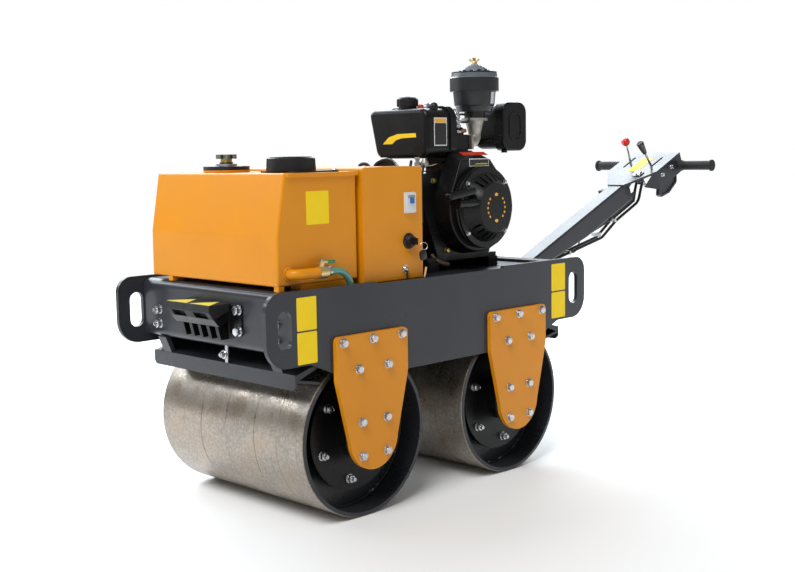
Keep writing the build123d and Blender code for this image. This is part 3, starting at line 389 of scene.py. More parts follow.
def rust_line(tree, place, wobble, gaps, y, drift):
    """1 on a broken hairline round the drum that wanders by its drift, 0 beside it."""
    drawn = add(tree, "MapRange", {"Value": (wobble, 0), 3: (y - drift) * MM, 4: (y + drift) * MM})
    away = add(tree, "Math", {0: (place, "Y"), 1: (drawn, 0)}, operation="SUBTRACT")
    near = add(tree, "Math", {0: (away, 0)}, operation="ABSOLUTE")
    on_line = add(tree, "MapRange", {"Value": (near, 0), 1: LINE_FULL, 2: LINE_GONE, 3: 1.0, 4: 0.0})
    return add(tree, "Math", {0: (on_line, 0), 1: (gaps, 0)}, operation="MULTIPLY")


def rusted(tree, metal, place, clouds, wobble, speckle):
    """The metal's tone with rust specks 1 to 3 mm wide, in patches, and hairlines of rust over it."""
    speck = add(tree, "MapRange", {"Value": (speckle, 0), 1: 0.60, 2: 0.70, 3: 0.0, 4: 0.75})
    patch = add(tree, "MapRange", {"Value": (wobble, 0), 1: 0.42, 2: 0.62, 3: 0.1, 4: 1.0})
    specks = add(tree, "Math", {0: (speck, 0), 1: (patch, 0)}, operation="MULTIPLY")
    metal = blend(tree, (specks, 0), (metal, 2), colour("6B5647"))
    gaps = add(tree, "MapRange", {"Value": (clouds, 0), 1: 0.40, 2: 0.55, 3: 0.15, 4: 1.0})
    for y, drift, dark in RUST_LINES:
        line = rust_line(tree, place, wobble, gaps, y, drift)
        faint = add(tree, "Math", {0: (line, 0), 1: dark}, operation="MULTIPLY")
        metal = blend(tree, (faint, 0), (metal, 2), colour("5E4636"))
    return metal


def outside_paint(tree, place, speckle):
    """1 on the drum's bare face, 0 inside the rim, where it is painted up to a ragged edge."""
    flat = add(tree, "CombineXYZ", {0: (place, "X"), 2: (place, "Z")})
    out = add(tree, "VectorMath", {0: (flat, 0)}, operation="LENGTH")
    ragged = add(tree, "MapRange", {"Value": (speckle, 0), 3: -PAINT_RAGGED, 4: PAINT_RAGGED})
    reach = add(tree, "Math", {0: (out, "Value"), 1: (ragged, 0)}, operation="ADD")
    return add(tree, "MapRange", {"Value": (reach, 0), 1: PAINT_EDGE - 0.4 * MM, 2: PAINT_EDGE + 0.4 * MM,
                                  3: 0.0, 4: 1.0})


def rolled_steel(name, axle, shades):
    """Bare drum round the given axle: mill-rolled plate, mottled by wear, with rust specks and hairlines."""
    tree, shader = begin(name)
    coords = add(tree, "TexCoord")
    centred = add(tree, "Mapping", {0: (coords, "Object"), 1: (-axle.x, 0, -axle.z)})
    place = add(tree, "SeparateXYZ", {0: (centred, 0)})
    turn = add(tree, "Math", {0: (place, "Z"), 1: (place, "X")}, operation="ARCTAN2")
    run = add(tree, "Math", {0: (turn, 0), 1: DRUM_RADIUS}, operation="MULTIPLY")
    wrapped = add(tree, "CombineXYZ", {0: (run, 0), 1: (place, "Y")})
    # Scuffs run round the drum, a few millimetres apart and decimetres long.
    scuffed = add(tree, "Mapping", {0: (wrapped, 0), 3: (5.0, 90.0, 1.0)})
    scuffs = add(tree, "TexNoise", {"Vector": (scuffed, 0), "Scale": 1.0, "Detail": 4.0, "Roughness": 0.55})
    # Mottling of the scale, 8 mm coarse, on broad clouds of wear 90 mm across, and grains of 3 mm.
    mottle = add(tree, "TexNoise", {"Vector": (centred, 0), "Scale": 1 / (8 * MM), "Detail": 6.0,
                                    "Roughness": 0.7})
    clouds = add(tree, "TexNoise", {"Vector": (centred, 0), "Scale": 1 / (90 * MM), "Detail": 5.0})
    wobble = add(tree, "TexNoise", {"Vector": (centred, 0), "Scale": 1 / (160 * MM), "Detail": 3.0})
    speckle = add(tree, "TexNoise", {"Vector": (centred, 0), "Scale": 1 / (3.2 * MM), "Detail": 2.0})
    light = add(tree, "MapRange", {"Value": (mottle, 0), 1: 0.38, 2: 0.62})
    dull, bright = ([c * share for c in shades.drum] for share in (0.87, 1.07))
    metal = blend(tree, (light, 0), colour(dull), colour(bright))
    band = add(tree, "MapRange", {"Value": (scuffs, 0), 1: 0.45, 2: 0.72, 3: 0.0, 4: 0.5})
    metal = blend(tree, (band, 0), (metal, 2), colour("8E8983"))
    warm = add(tree, "MapRange", {"Value": (clouds, 0), 1: 0.44, 2: 0.66, 3: 0.0, 4: 0.6})
    metal = blend(tree, (warm, 0), (metal, 2), colour("9C8B78"))
    metal = rusted(tree, metal, place, clouds, wobble, speckle)
    bare = outside_paint(tree, place, speckle)
    tone = blend(tree, (bare, 0), colour("26282C"), (metal, 2))
    tree.links.new(tone.outputs[2], shader.inputs["Base Color"])
    shine = add(tree, "Math", {0: (bare, 0), 1: 0.80}, operation="MULTIPLY")
    tree.links.new(shine.outputs[0], shader.inputs["Metallic"])
    patchy = add(tree, "Math", {0: (mottle, 0), 1: 0.6, 2: (clouds, 0)}, operation="MULTIPLY_ADD")
    rough = add(tree, "MapRange", {"Value": (patchy, 0), 1: 0.68, 2: 0.92, 3: 0.46, 4: 0.24})
    tree.links.new(rough.outputs[0], shader.inputs["Roughness"])
    edge = add(tree, "Bevel", {"Radius": 1.5 * MM}, samples=4)
    bump = add(tree, "Bump", {"Strength": 0.35, "Distance": 0.2 * MM, "Height": (scuffs, 0),
                              "Normal": (edge, 0)})
    pits = add(tree, "Bump", {"Strength": 0.5, "Distance": 0.35 * MM, "Height": (mottle, 0),
                              "Normal": (bump, 0)})
    tree.links.new(pits.outputs[0], shader.inputs["Normal"])


def stacked(name, node, heights, tones, roughness, metallic):
    """One turned stack of parts: its colour and metal change with height, at heights in mm over its foot."""
    tree, shader = plain(name, tones[0], tones[0], roughness)
    low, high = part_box(node)[0].z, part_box(node)[1].z
    place = add(tree, "SeparateXYZ", {0: (add(tree, "TexCoord"), "Object")})
    share = add(tree, "MapRange", {"Value": (place, "Z"), 1: low, 2: high})
    for socket, values in (("Base Color", tones), ("Metallic", [(m, m, m, 1) for m in metallic])):
        ramp = add(tree, "ValToRGB", {0: (share, 0)})
        ramp.color_ramp.interpolation = "CONSTANT"
        ramp.color_ramp.elements[0].color = values[0]
        ramp.color_ramp.elements.remove(ramp.color_ramp.elements[1])
        for height, value in zip(heights, values[1:]):
            ramp.color_ramp.elements.new(height * MM / (high - low)).color = value
        tree.links.new(ramp.outputs[0], shader.inputs[socket])


def knobbed(name, centre, radius, knob, roughness):
    """A bright lever whose knob, within a radius of its centre, has another colour."""
    tree, shader = plain(name, colour("C9CBCE"), colour("A7ABB0"), roughness, blotch_mm=9.0)
    away = add(tree, "VectorMath", {0: (add(tree, "TexCoord"), "Object"), 1: centre}, operation="DISTANCE")
    is_rod = add(tree, "Math", {0: (away, "Value"), 1: radius}, operation="GREATER_THAN")
    old = shader.inputs["Base Color"].links[0].from_node
    tone = blend(tree, (is_rod, 0), knob, (old, 2))
    tree.links.new(tone.outputs[2], shader.inputs["Base Color"])
    tree.links.new(is_rod.outputs[0], shader.inputs["Metallic"])
    shader.inputs["Coat Weight"].default_value = 0.5


def make_materials(shades):
    """Every finish; a stack's heights are in mm over its node's foot."""
    orange_enamel(shades)
    graphite_enamel(shades)
    black_enamel(shades)
    zinc_plate()
    yellow_zinc()
    brass()
    copper()
    burnt_steel()
    worn_weld()
    blue_nylon()
    cast_aluminium()
    black_abs()
    breaker_plastic()
    nitrile_rubber()
    hose_pvc()
    sticker_vinyl(shades)
    rolled_steel("rolled_steel_front", FRONT_AXLE, shades)
    rolled_steel("rolled_steel_rear", REAR_AXLE, shades)
    zinc, black, yellow = colour("C9CCCF"), colour("1A1A1B"), colour("B99A55")
    stacked("vent_stack", "vent_cap", (6.5, 16.5, 23, 27, 36),
            [colour(shades.body), black, zinc, black, yellow, colour("8D9087")], 0.34, (0, 0, 1, 0, 1, 1))
    stacked("cleaner_stack", "air_cleaner", (115.5, 129, 133, 157),
            [colour("1B1C1E"), colour("596066"), black, colour("6E767D"), yellow], 0.34, (0, 0, 0, 0, 1))
    knobbed("throttle_finish", on_arm(923, -58, 103), 16.6 * MM, colour("D41616"), 0.22)
    knobbed("travel_finish", on_arm(882, 58, 22) + knob_middle(), 30 * MM, colour("1C1D1F"), 0.35)


def knob_middle():
    """From the travel lever's foot to the middle of its knob, along its lean."""
    lean = math.radians(18.5)
    return (OFF_ARM * math.cos(lean) - UP_ARM * math.sin(lean)) * (91 * MM)


# What each material slot of the record is finished with, and the nodes that have a finish of their own.
SLOT_FINISH = {
    "frame_paint": "graphite_enamel", "body_paint": "orange_enamel", "drum_steel": "rolled_steel_front",
    "black_plastic": "black_abs", "grey_plastic": "breaker_plastic", "red_plastic": "throttle_finish",
    "black_rubber": "nitrile_rubber", "engine_paint": "black_enamel", "bare_metal": "zinc_plate",
    "cast_alloy": "cast_aluminium", "brass": "brass", "teal_hose": "hose_pvc",
}
NODE_FINISH = {
    "rear_drum": "rolled_steel_rear", "front_drum_hubs": "black_enamel", "rear_drum_hubs": "black_enamel",
    "vent_cap": "vent_stack", "air_cleaner": "cleaner_stack", "travel_lever": "travel_finish",
    "engine_rails": "black_enamel", "chock_holder": "black_enamel", "handlebar": "nitrile_rubber",
    "start_button": "zinc_plate",
}


# Modelling

def only(obj):
    """Deselect everything else and make obj active."""
    bpy.ops.object.select_all(action="DESELECT")
    obj.select_set(True)
    bpy.context.view_layer.objects.active = obj


def primitive(kind, **settings):
    """A new mesh primitive, the only thing selected."""
    bpy.ops.object.select_all(action="DESELECT")
    getattr(bpy.ops.mesh, "primitive_" + kind + "_add")(**settings)
    return bpy.context.active_object


def edit(obj):
    """Go into edit mode with all of obj selected."""
    only(obj)
    bpy.ops.object.mode_set(mode="EDIT")
    bpy.ops.mesh.select_all(action="SELECT")


def leave():
    """Go back to object mode."""
    bpy.ops.object.mode_set(mode="OBJECT")


def pick_top(obj):
    """In edit mode, select only the faces that look up."""
    bpy.ops.mesh.select_mode(type="FACE")
    bpy.ops.mesh.select_all(action="DESELECT")
    mesh = bmesh.from_edit_mesh(obj.data)
    for face in mesh.faces:
        face.select_set(face.normal.z > 0.9)
    mesh.select_flush_mode()
    bmesh.update_edit_mesh(obj.data)


def close_up():
    """Turn all faces outwards and leave edit mode."""
    bpy.ops.mesh.select_all(action="SELECT")
    bpy.ops.mesh.normals_make_consistent(inside=False)
    leave()


def modify(obj, kind, **settings):
    """Add a modifier and apply it."""
    only(obj)
    made = obj.modifiers.new(kind.lower(), kind)
    for name, value in settings.items():
        setattr(made, name, value)
    bpy.ops.object.modifier_apply(modifier=made.name)


def joined(objects):
    """The objects as one, standing where the first one stood."""
    only(objects[0])
    for obj in objects:
        obj.select_set(True)
    if len(objects) > 1:
        bpy.ops.object.join()
    return bpy.context.active_object


def copies(model, places):
    """One mesh of copies of the model's mesh at the places; the model itself goes."""
    made = []
    for place in places:
        mesh = model.data.copy()
        mesh.transform(place)
        obj = bpy.data.objects.new("copy", mesh)
        bpy.context.scene.collection.objects.link(obj)
        made.append(obj)
    bpy.data.objects.remove(model)
    return joined(made)


def placed(obj, matrix):
    """Put the object's own place and then the matrix into its mesh."""
    obj.data.transform(obj.matrix_basis)
    obj.matrix_basis = Matrix.Identity(4)
    obj.data.transform(matrix)
    return obj


def finish(obj, name, finish_name, body="chassis"):
    """Put the place into the mesh, smooth it, give it its material and let it ride."""
    only(obj)
    obj.name = name
    bpy.ops.object.transform_apply(location=True, rotation=True, scale=True)
    bpy.ops.object.shade_smooth_by_angle(angle=math.radians(32))
    obj.data.materials.clear()
    obj.data.materials.append(bpy.data.materials[finish_name])
    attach(obj, body)


def hex_head(across, height, washer, stud=0.0):
    """A hex head or nut with a crowned top on a washer, along +Z; stud is how far a thread shows.

    Its own place is the middle of the washer, so copies of it stand half a washer deep.
    """
    base = primitive("cylinder", vertices=32, radius=across * 0.66, depth=washer,
                     location=(0, 0, washer / 2))
    modify(base, "BEVEL", width=washer * 0.3, segments=2)
    head = primitive("cylinder", vertices=6, radius=across / math.sqrt(3), depth=height,
                     location=(0, 0, washer + height / 2))
    edit(head)
    pick_top(head)
    bpy.ops.mesh.inset(thickness=across * 0.07, depth=across * 0.05)
    leave()
    modify(head, "BEVEL", width=across * 0.02, segments=2)
    parts = [base, head]
    if stud:
        thread = primitive("cylinder", vertices=20, radius=across * 0.29, depth=stud,
                           location=(0, 0, washer + height + stud / 2))
        edit(thread)
        pick_top(thread)
        bpy.ops.mesh.inset(thickness=across * 0.05, depth=0)
        bpy.ops.mesh.inset(thickness=across * 0.02, depth=-across * 0.03)
        leave()
        parts.append(thread)
    return joined(parts)


def turned(rings, sides=32, place=Matrix.Identity(4)):
    """A closed turned form along +Z, drawn up from its foot through rings of (radius, height) in mm."""
    radius, height = rings[0]
    obj = primitive("circle", vertices=sides, radius=radius * MM, fill_type="NGON",
                    location=(0, 0, height * MM))
    edit(obj)
    for wide, high in rings[1:]:
        bpy.ops.mesh.extrude_region_move(TRANSFORM_OT_translate={"value": (0, 0, (high - height) * MM)})
        share = wide / radius
        bpy.ops.transform.resize(value=(share, share, 1), center_override=(0, 0, high * MM))
        radius, height = wide, high
    close_up()
    return placed(obj, place)


def dome_rings(radius, height, foot):
    """Rings of a dome in mm that starts at a foot's height, from its rim to near its pole."""
    return [(radius * math.cos(t), foot + height * math.sin(t)) for t in (0.0, 0.35, 0.7, 1.0, 1.25, 1.45)]


def cut_plate(points, thickness, place=Matrix.Identity(4)):
    """A plate with the outline given in mm, lying on z = 0 and standing up by its thickness."""
    obj = primitive("circle", vertices=len(points), radius=1, fill_type="NGON")
    for vertex, (x, y) in zip(obj.data.vertices, points):
        vertex.co = (x * MM, y * MM, 0)
    edit(obj)
    bpy.ops.mesh.extrude_region_move(TRANSFORM_OT_translate={"value": (0, 0, thickness)})
    close_up()
    return placed(obj, place)


def oblong(half_x, half_y, x=0, y=0):
    """Corners of an oblong about (x, y)."""
    return [(x + a * half_x, y + b * half_y) for a, b in ((-1, -1), (1, -1), (1, 1), (-1, 1))]


def raised(base, lift_mm):
    """A place lifted off its face."""
    return base @ Matrix.Translation((0, 0, lift_mm * MM))


def round_about(centre, place, count):
    """The place turned about the upright line through the centre, count times round."""
    turns = [Matrix.Rotation(math.tau * n / count, 4, "Z") for n in range(count)]
    return [Matrix.Translation(centre) @ turn @ place for turn in turns]


def seat(node, origin, direction):
    """Where a line from the origin first meets a node of the frame, and the normal there."""
    obj = frame["nodes"][node]
    into = obj.matrix_world.inverted()
    met, place, normal, face = obj.ray_cast(into @ origin, (into.to_3x3() @ direction).normalized())
    if not met:
        raise RuntimeError(node + " has no face on the line from " + str(origin))
    return obj.matrix_world @ place, (obj.matrix_world.to_3x3() @ normal).normalized()


def seated(node, origin, direction, up=UP):
    """The matrix that stands +Z on the face where the line meets a node."""
    place, normal = seat(node, origin, direction)
    return facing(place, normal, up)


def block(low, high, round_mm=1.5):
    """A block between two corners with rounded edges."""
    obj = primitive("cube", size=1, location=(low + high) / 2)
    obj.scale = [abs(c) for c in high - low]
    bpy.ops.object.transform_apply(location=False, rotation=False, scale=True)
    modify(obj, "BEVEL", width=round_mm * MM, segments=3)
    return obj


def bent_tube(points, radius_mm, to=at):
    """A bent pipe, rod or hose through points in mm, which the function to takes into the frame."""
    curve = bpy.data.curves.new("pipe", "CURVE")
    curve.dimensions = "3D"
    curve.bevel_depth = radius_mm * MM
    curve.bevel_resolution = 3
    curve.use_fill_caps = True
    curve.resolution_u = 10
    spline = curve.splines.new("NURBS")
    spline.points.add(len(points) - 1)
    for knot, point in zip(spline.points, points):
        knot.co = (*to(*point), 1)
    spline.order_u = 3
    spline.use_endpoint_u = True
    obj = bpy.data.objects.new("pipe", curve)
    bpy.context.scene.collection.objects.link(obj)
    only(obj)
    bpy.ops.object.convert(target="MESH")
    return bpy.context.active_object


def weld_bead(radius, thick, place, seed, ripples=180):
    """A ring of weld with uneven ripples, about +Z at a place."""
    bead = primitive("torus", major_segments=ripples, minor_segments=8, major_radius=radius,
                     minor_radius=thick)
    draw = random.Random(seed)
    ripple = [draw.uniform(0.82, 1.22) for n in range(ripples)]
    for vertex in bead.data.vertices:
        turn = math.atan2(vertex.co.y, vertex.co.x)
        ring = Vector((radius * math.cos(turn), radius * math.sin(turn), 0))
        vertex.co = ring + (vertex.co - ring) * ripple[int(turn / math.tau * ripples) % ripples]
    return placed(bead, place)


def sticker(name, low, high, normal, thickness):
    """A thin blank yellow sticker with rounded corners, between two opposite corners on its face."""
    place = facing((low + high) / 2, normal)
    span = place.to_3x3().transposed() @ (high - low)
    sheet = primitive("plane", size=1)
    sheet.scale = (abs(span.x), abs(span.y), 1)
    bpy.ops.object.transform_apply(location=False, rotation=False, scale=True)
    edit(sheet)
    bpy.ops.mesh.bevel(offset=3 * MM, segments=4, affect="VERTICES")
    bpy.ops.mesh.select_all(action="SELECT")
    bpy.ops.mesh.extrude_region_move(TRANSFORM_OT_translate={"value": (0, 0, thickness)})
    close_up()
    finish(placed(sheet, place), name, "yellow_vinyl")


class ROLLER_OT_stage(Operator):
    """Pale floor, soft studio light and the camera at the photograph's angle"""
    bl_idname = "roller.stage"
    bl_label = "Stage"

    def execute(self, context):
        stage = context.scene.roller_stage
        self.floor()
        self.backdrop(context, stage)
        self.lights(context, stage)
        self.camera(context, stage)
        return {"FINISHED"}

    def floor(self):
        floor = primitive("plane", size=60, location=(0, 0, 0))
        floor.name = "floor"
        tree, shader = begin("pale_floor")
        shader.inputs["Base Color"].default_value = colour("F2F2F1")
        shader.inputs["Roughness"].default_value = 0.75
        # Far out the paper glows a little, so that it runs into the white behind with no line.
        near, far, glow = 2.6, 6.5, 0.26
        away = add(tree, "VectorMath", {0: (add(tree, "TexCoord"), "Object")}, operation="LENGTH")
        light = add(tree, "MapRange", {"Value": (away, "Value"), 1: near, 2: far, 3: 0.0, 4: glow},
                    interpolation_type="SMOOTHSTEP")
        shader.inputs["Emission Color"].default_value = (1, 1, 1, 1)
        tree.links.new(light.outputs[0], shader.inputs["Emission Strength"])
        floor.data.materials.append(bpy.data.materials["pale_floor"])

    def backdrop(self, context, stage):
        # The paper behind is white to the eye, and gives the machine less light than that, so that
        # black stays black.
        world = bpy.data.worlds.new("studio")
        world.use_nodes = True
        tree = world.node_tree
        seen = add(tree, "LightPath")
        strength = add(tree, "MapRange", {"Value": (seen, "Is Camera Ray"), 3: stage.sky, 4: 1.0})
        tree.nodes["Background"].inputs[0].default_value = (1, 1, 1, 1)
        tree.links.new(strength.outputs[0], tree.nodes["Background"].inputs[1])
        context.scene.world = world
        context.scene.view_settings.view_transform = "Standard"

    def lights(self, context, stage):
        a, e = stage.key_azimuth, stage.key_height
        key_from = Vector((math.cos(e) * math.cos(a), math.cos(e) * math.sin(a), math.sin(e)))
        key = bpy.data.lights.new("key_light", "SUN")
        key.energy = stage.key
        key.angle = stage.key_spread
        self.hang(context, key, key_from * 8, Vector((0, 0, 0)))
        # One softbox stands where the handle's top mirrors it to the camera, one where the front drum does.
        reach = 4.6
        above_handle = Vector((-0.6, 0, 0.7))
        above_drum = FRONT_AXLE + Vector((0, 0, 0.14))
        for name, size, power, target, way in (
                ("handle_softbox", (7.4, 2.6), stage.window, above_handle, Vector((-0.26, -0.74, 0.62))),
                ("drum_softbox", (3.2, 0.6), stage.drum_window, above_drum, Vector((0.42, -0.785, 0.45)))):
            softbox = bpy.data.lights.new(name, "AREA")
            softbox.shape = "RECTANGLE"
            softbox.size, softbox.size_y = size
            softbox.energy = power
            softbox.color = (0.86, 0.93, 1.0)
            self.hang(context, softbox, target + way * reach, target)

    def hang(self, context, lamp, place, target):
        """Hang a lamp at a place, turned to its target and out of the camera's sight."""
        obj = bpy.data.objects.new(lamp.name, lamp)
        obj.location = place
        obj.rotation_euler = (target - place).to_track_quat("-Z", "Y").to_euler()
        obj.visible_camera = False
        context.scene.collection.objects.link(obj)

    def camera(self, context, stage):
        a, e, roll = stage.view_azimuth, stage.view_elevation, stage.view_roll
        view = Vector((-math.sin(a) * math.cos(e), math.cos(a) * math.cos(e), -math.sin(e)))
        level = view.cross(UP).normalized()
        above = level.cross(view)
        across = level * math.cos(roll) + above * math.sin(roll)
        above = above * math.cos(roll) - level * math.sin(roll)
        made = bpy.data.cameras.new("camera")
        made.sensor_width = 36
        made.lens = stage.lens
        obj = bpy.data.objects.new("camera", made)
        obj.matrix_world = (Matrix.Translation(Vector(stage.camera_place))
                            @ Matrix((across, above, -view)).transposed().to_4x4())
        context.scene.collection.objects.link(obj)
        context.scene.camera = obj


class ROLLER_OT_finishes(Operator):
    """Make the materials and give every CAD node its own"""
    bl_idname = "roller.finishes"
    bl_label = "Finishes"

    def execute(self, context):
        make_materials(context.scene.roller_colours)
        for part in frame["record"]["subparts"]:
            name = part["node"]
            finish_name = NODE_FINISH.get(name, SLOT_FINISH[part["material_slot"]])
            slots = frame["nodes"][name].data.materials
            slots.clear()
            slots.append(bpy.data.materials[finish_name])
        return {"FINISHED"}


class ROLLER_OT_bolts(Operator):
    """Bolts of the drum brackets, the drums' hub flanges, the cross members and the chock's holder"""
    bl_idname = "roller.bolts"
    bl_label = "Bolts"

    def execute(self, context):
        sizes = context.scene.roller_fittings
        self.brackets(sizes)
        self.hubs(sizes)
        self.cross_members(sizes)
        self.chock_holder(sizes)
        return {"FINISHED"}

    def brackets(self, sizes):
        # Rows of bolts from the top: height over the ground, and places to each side of the axle, in mm.
        rows = ((465.9, (-101.8, 0, 101.8)), (394.4, (-50.9, 50.9)), (258.2, (-43.7, 43.7)),
                (170.6, (-43.3, 43.3)))
        for end, axle in ENDS:
            for side, out in (("left", LEFT), ("right", RIGHT)):
                low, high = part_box("drum_bracket_" + end + "_" + side)
                y = high.y if out is LEFT else low.y
                places = []
                for row, (z, across) in enumerate(rows):
                    for n, x in enumerate(across):
                        # Each head was left at an angle of its own.
                        turn = Matrix.Rotation(math.radians(23 * row + 17 * n), 4, "Z")
                        places.append(facing(Vector((axle.x + x * MM, y, z * MM)), out) @ turn)
                bolt = hex_head(sizes.bolt_across, height=8 * MM, washer=2.6 * MM)
                finish(copies(bolt, places), "bracket_bolts_" + end + "_" + side, "zinc_plate")

    def hubs(self, sizes):
        circle, setback = 120 * MM, 45 * MM
        for (end, axle), phase in zip(ENDS, (40, 23)):
            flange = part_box(end + "_drum_hubs")[1].y - setback
            places = []
            for out in (LEFT, RIGHT):
                for n in range(6):
                    turn = math.radians(phase + 60 * n)
                    middle = Vector((axle.x + circle * math.cos(turn), out.y * flange,
                                     axle.z + circle * math.sin(turn)))
                    places.append(facing(middle, out) @ Matrix.Rotation(n * 0.4, 4, "Z"))
            nut = hex_head(sizes.bolt_across, height=10 * MM, washer=2.6 * MM, stud=9 * MM)
            finish(copies(nut, places), "hub_nuts_" + end, "zinc_plate", end + "_drum")

    def cross_members(self, sizes):
        for end, out in (("front", FORWARD), ("rear", BACK)):
            low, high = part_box(end + "_cross_member")
            x = high.x if out is FORWARD else low.x
            places = [facing(Vector((x, y * MM, z * MM)), out)
                      for y, z in ((-237, 481), (-237, 519), (256, 483), (256, 522))]
            nut = hex_head(sizes.nut_across, height=11 * MM, washer=3 * MM, stud=6 * MM)
            finish(copies(nut, places), "member_nuts_" + end, "zinc_plate")

    def chock_holder(self, sizes):
        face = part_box("front_cross_member")[1].x + 5 * MM
        places = [facing(Vector((face, 117.5 * MM, z * MM)), FORWARD) for z in (493, 546)]
        bolt = hex_head(sizes.nut_across, height=11 * MM, washer=3 * MM)
        finish(copies(bolt, places), "chock_bolts", "zinc_plate")


class ROLLER_OT_stickers(Operator):
    """Blank stickers where the machine has its signs, and the chock's two marks"""
    bl_idname = "roller.stickers"
    bl_label = "Stickers"

    def execute(self, context):
        thick = context.scene.roller_fittings.sticker_thickness
        self.lifting(thick)
        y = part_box("water_tank")[1].y / MM - 6
        sticker("tank_sticker", at(369, y, 757), at(443, y, 839), LEFT, thick)
        self.chock(thick)
        return {"FINISHED"}

    def lifting(self, thick):
        # Two stickers, one over the other with a small gap, by each slot of the side plates.
        plate, half_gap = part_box("side_plate_left")[1].y / MM, 2
        for side, out in (("left", 1), ("right", -1)):
            for end, x0, x1, z0, z1 in (("front", 466, 528, 428, 590), ("rear", -524, -458, 431, 593)):
                split = z0 + 0.49 * (z1 - z0)
                for part, low, high in (("low", z0, split - half_gap), ("high", split + half_gap, z1)):
                    sticker("lifting_sticker_" + end + "_" + side + "_" + part,
                            at(x0, out * plate, low), at(x1, out * plate, high), LEFT * out, thick)

    def chock(self, thick):
        low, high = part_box("wheel_chock")
        root, tip = high.x / MM - 3, low.x / MM + 2
        marks = [cut_plate([(root, y0), (root, y1), (tip, y)], thick, Matrix.Translation((0, 0, high.z)))
                 for y0, y1, y in ((-104, -17, -63), (-3, 80, 35))]
        finish(joined(marks), "chock_marks", "pale_yellow_vinyl")


class ROLLER_OT_drum_seams(Operator):
    """Weld beads inside the drums, between the shell and the end plates"""
    bl_idname = "roller.drum_seams"
    bl_label = "Drum seams"

    def execute(self, context):
        setback, radius, thick = 73.5 * MM, 198.8 * MM, 3.4 * MM
        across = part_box("front_drum")[1].y - setback
        for end, axle in ENDS:
            beads = []
            for n, out in enumerate((LEFT, RIGHT)):
                place = facing(Vector((axle.x, out.y * across, axle.z)), out)
                beads.append(weld_bead(radius, thick, place, 11 + n))
            finish(joined(beads), "drum_seams_" + end, "worn_weld", end + "_drum")
        return {"FINISHED"}


class ROLLER_OT_tank_fittings(Operator):
    """The filler's flutes and plate bolts, the tank's feet, and the outlet's weld, grip, nut and clamp"""
    bl_idname = "roller.tank_fittings"
    bl_label = "Tank fittings"

    def execute(self, context):
        self.flutes()
        self.plate_bolts()
        self.feet()
        self.outlet()
        self.valve()
        return {"FINISHED"}

    def flutes(self):
        low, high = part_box("filler_cap")
        centre = Vector((high.x - 62 * MM, (low.y + high.y) / 2, 0))
        rib = cut_plate([(-0.9, -1.2), (0.9, -1.2), (0.5, 1.0), (-0.5, 1.0)], 27 * MM)
        lean = Matrix.Rotation(math.radians(3.0), 4, "X")
        foot = Matrix.Translation((0, 61.2 * MM, low.z + 5.5 * MM)) @ lean
        ribs = copies(rib, round_about(centre, foot, 72))
        grip = turned([(52, 0), (52, 2), (50, 3), (44, 3), (42, 1.6), (12, 1.4), (9, 3), (4, 3.4)], 64,
                      Matrix.Translation((centre.x, centre.y, high.z - 1 * MM)))
        finish(joined([ribs, grip]), "filler_flutes", "black_abs")

    def plate_bolts(self):
        low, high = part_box("filler_cap")
        plate, inset = low.z + 4 * MM, 10.5 * MM
        places = [facing(Vector((low.x + inset, y, plate)), UP, LEFT)
                  for y in (low.y + inset, high.y - inset)]
        bolt = turned([(7.5, 0), (7.5, 1.2)] + dome_rings(6.4, 4.4, 1.2), 24)
        finish(copies(bolt, places), "filler_plate_bolts", "zinc_plate")

    def feet(self):
        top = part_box("front_cross_member")[1].z / MM
        feet = [block(at(516, y - 9, top - 0.5), at(535, y + 9, top + 13)) for y in (-187, 256)]
        finish(joined(feet), "tank_feet", "orange_enamel")

    def outlet(self):
        low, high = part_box("outlet_pipe")
        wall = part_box("water_tank")[1].y - 5.5 * MM
        centre = Vector((high.x - 13 * MM, wall, (low.z + high.z) / 2))
        finish(weld_bead(14.2 * MM, 3.0 * MM, facing(centre, LEFT), 5), "outlet_weld", "orange_enamel")

    def valve(self):
        low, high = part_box("outlet_valve")
        y = (low.y + high.y) / 2
        sleeve = block(Vector((low.x - 1 * MM, y - 7.5 * MM, high.z - 6.5 * MM)),
                       Vector((low.x + 25 * MM, y + 7.5 * MM, high.z + 1.2 * MM)), 2.4)
        finish(sleeve, "valve_grip", "green_vinyl")
        stem = Vector((high.x - 14 * MM, y, high.z - 0.2 * MM))
        nut = turned([(5.2, 0), (5.2, 2.8), (3.4, 3.0), (3.2, 5.0)], 6, facing(stem, UP, LEFT))
        finish(nut, "valve_nut", "zinc_plate")
        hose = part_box("water_hose")[1]
        middle = Vector((hose.x - 11 * MM, y, hose.z - 9 * MM))
        band = turned([(9.6, -4), (10.6, -3.6), (10.6, 3.6), (9.6, 4)], 32, facing(middle, BACK))
        ear = block(middle + Vector((-5, -3, 8)) * MM, middle + Vector((5, 3, 15)) * MM, 1.0)
        finish(joined([band, ear]), "hose_clamp", "zinc_plate")


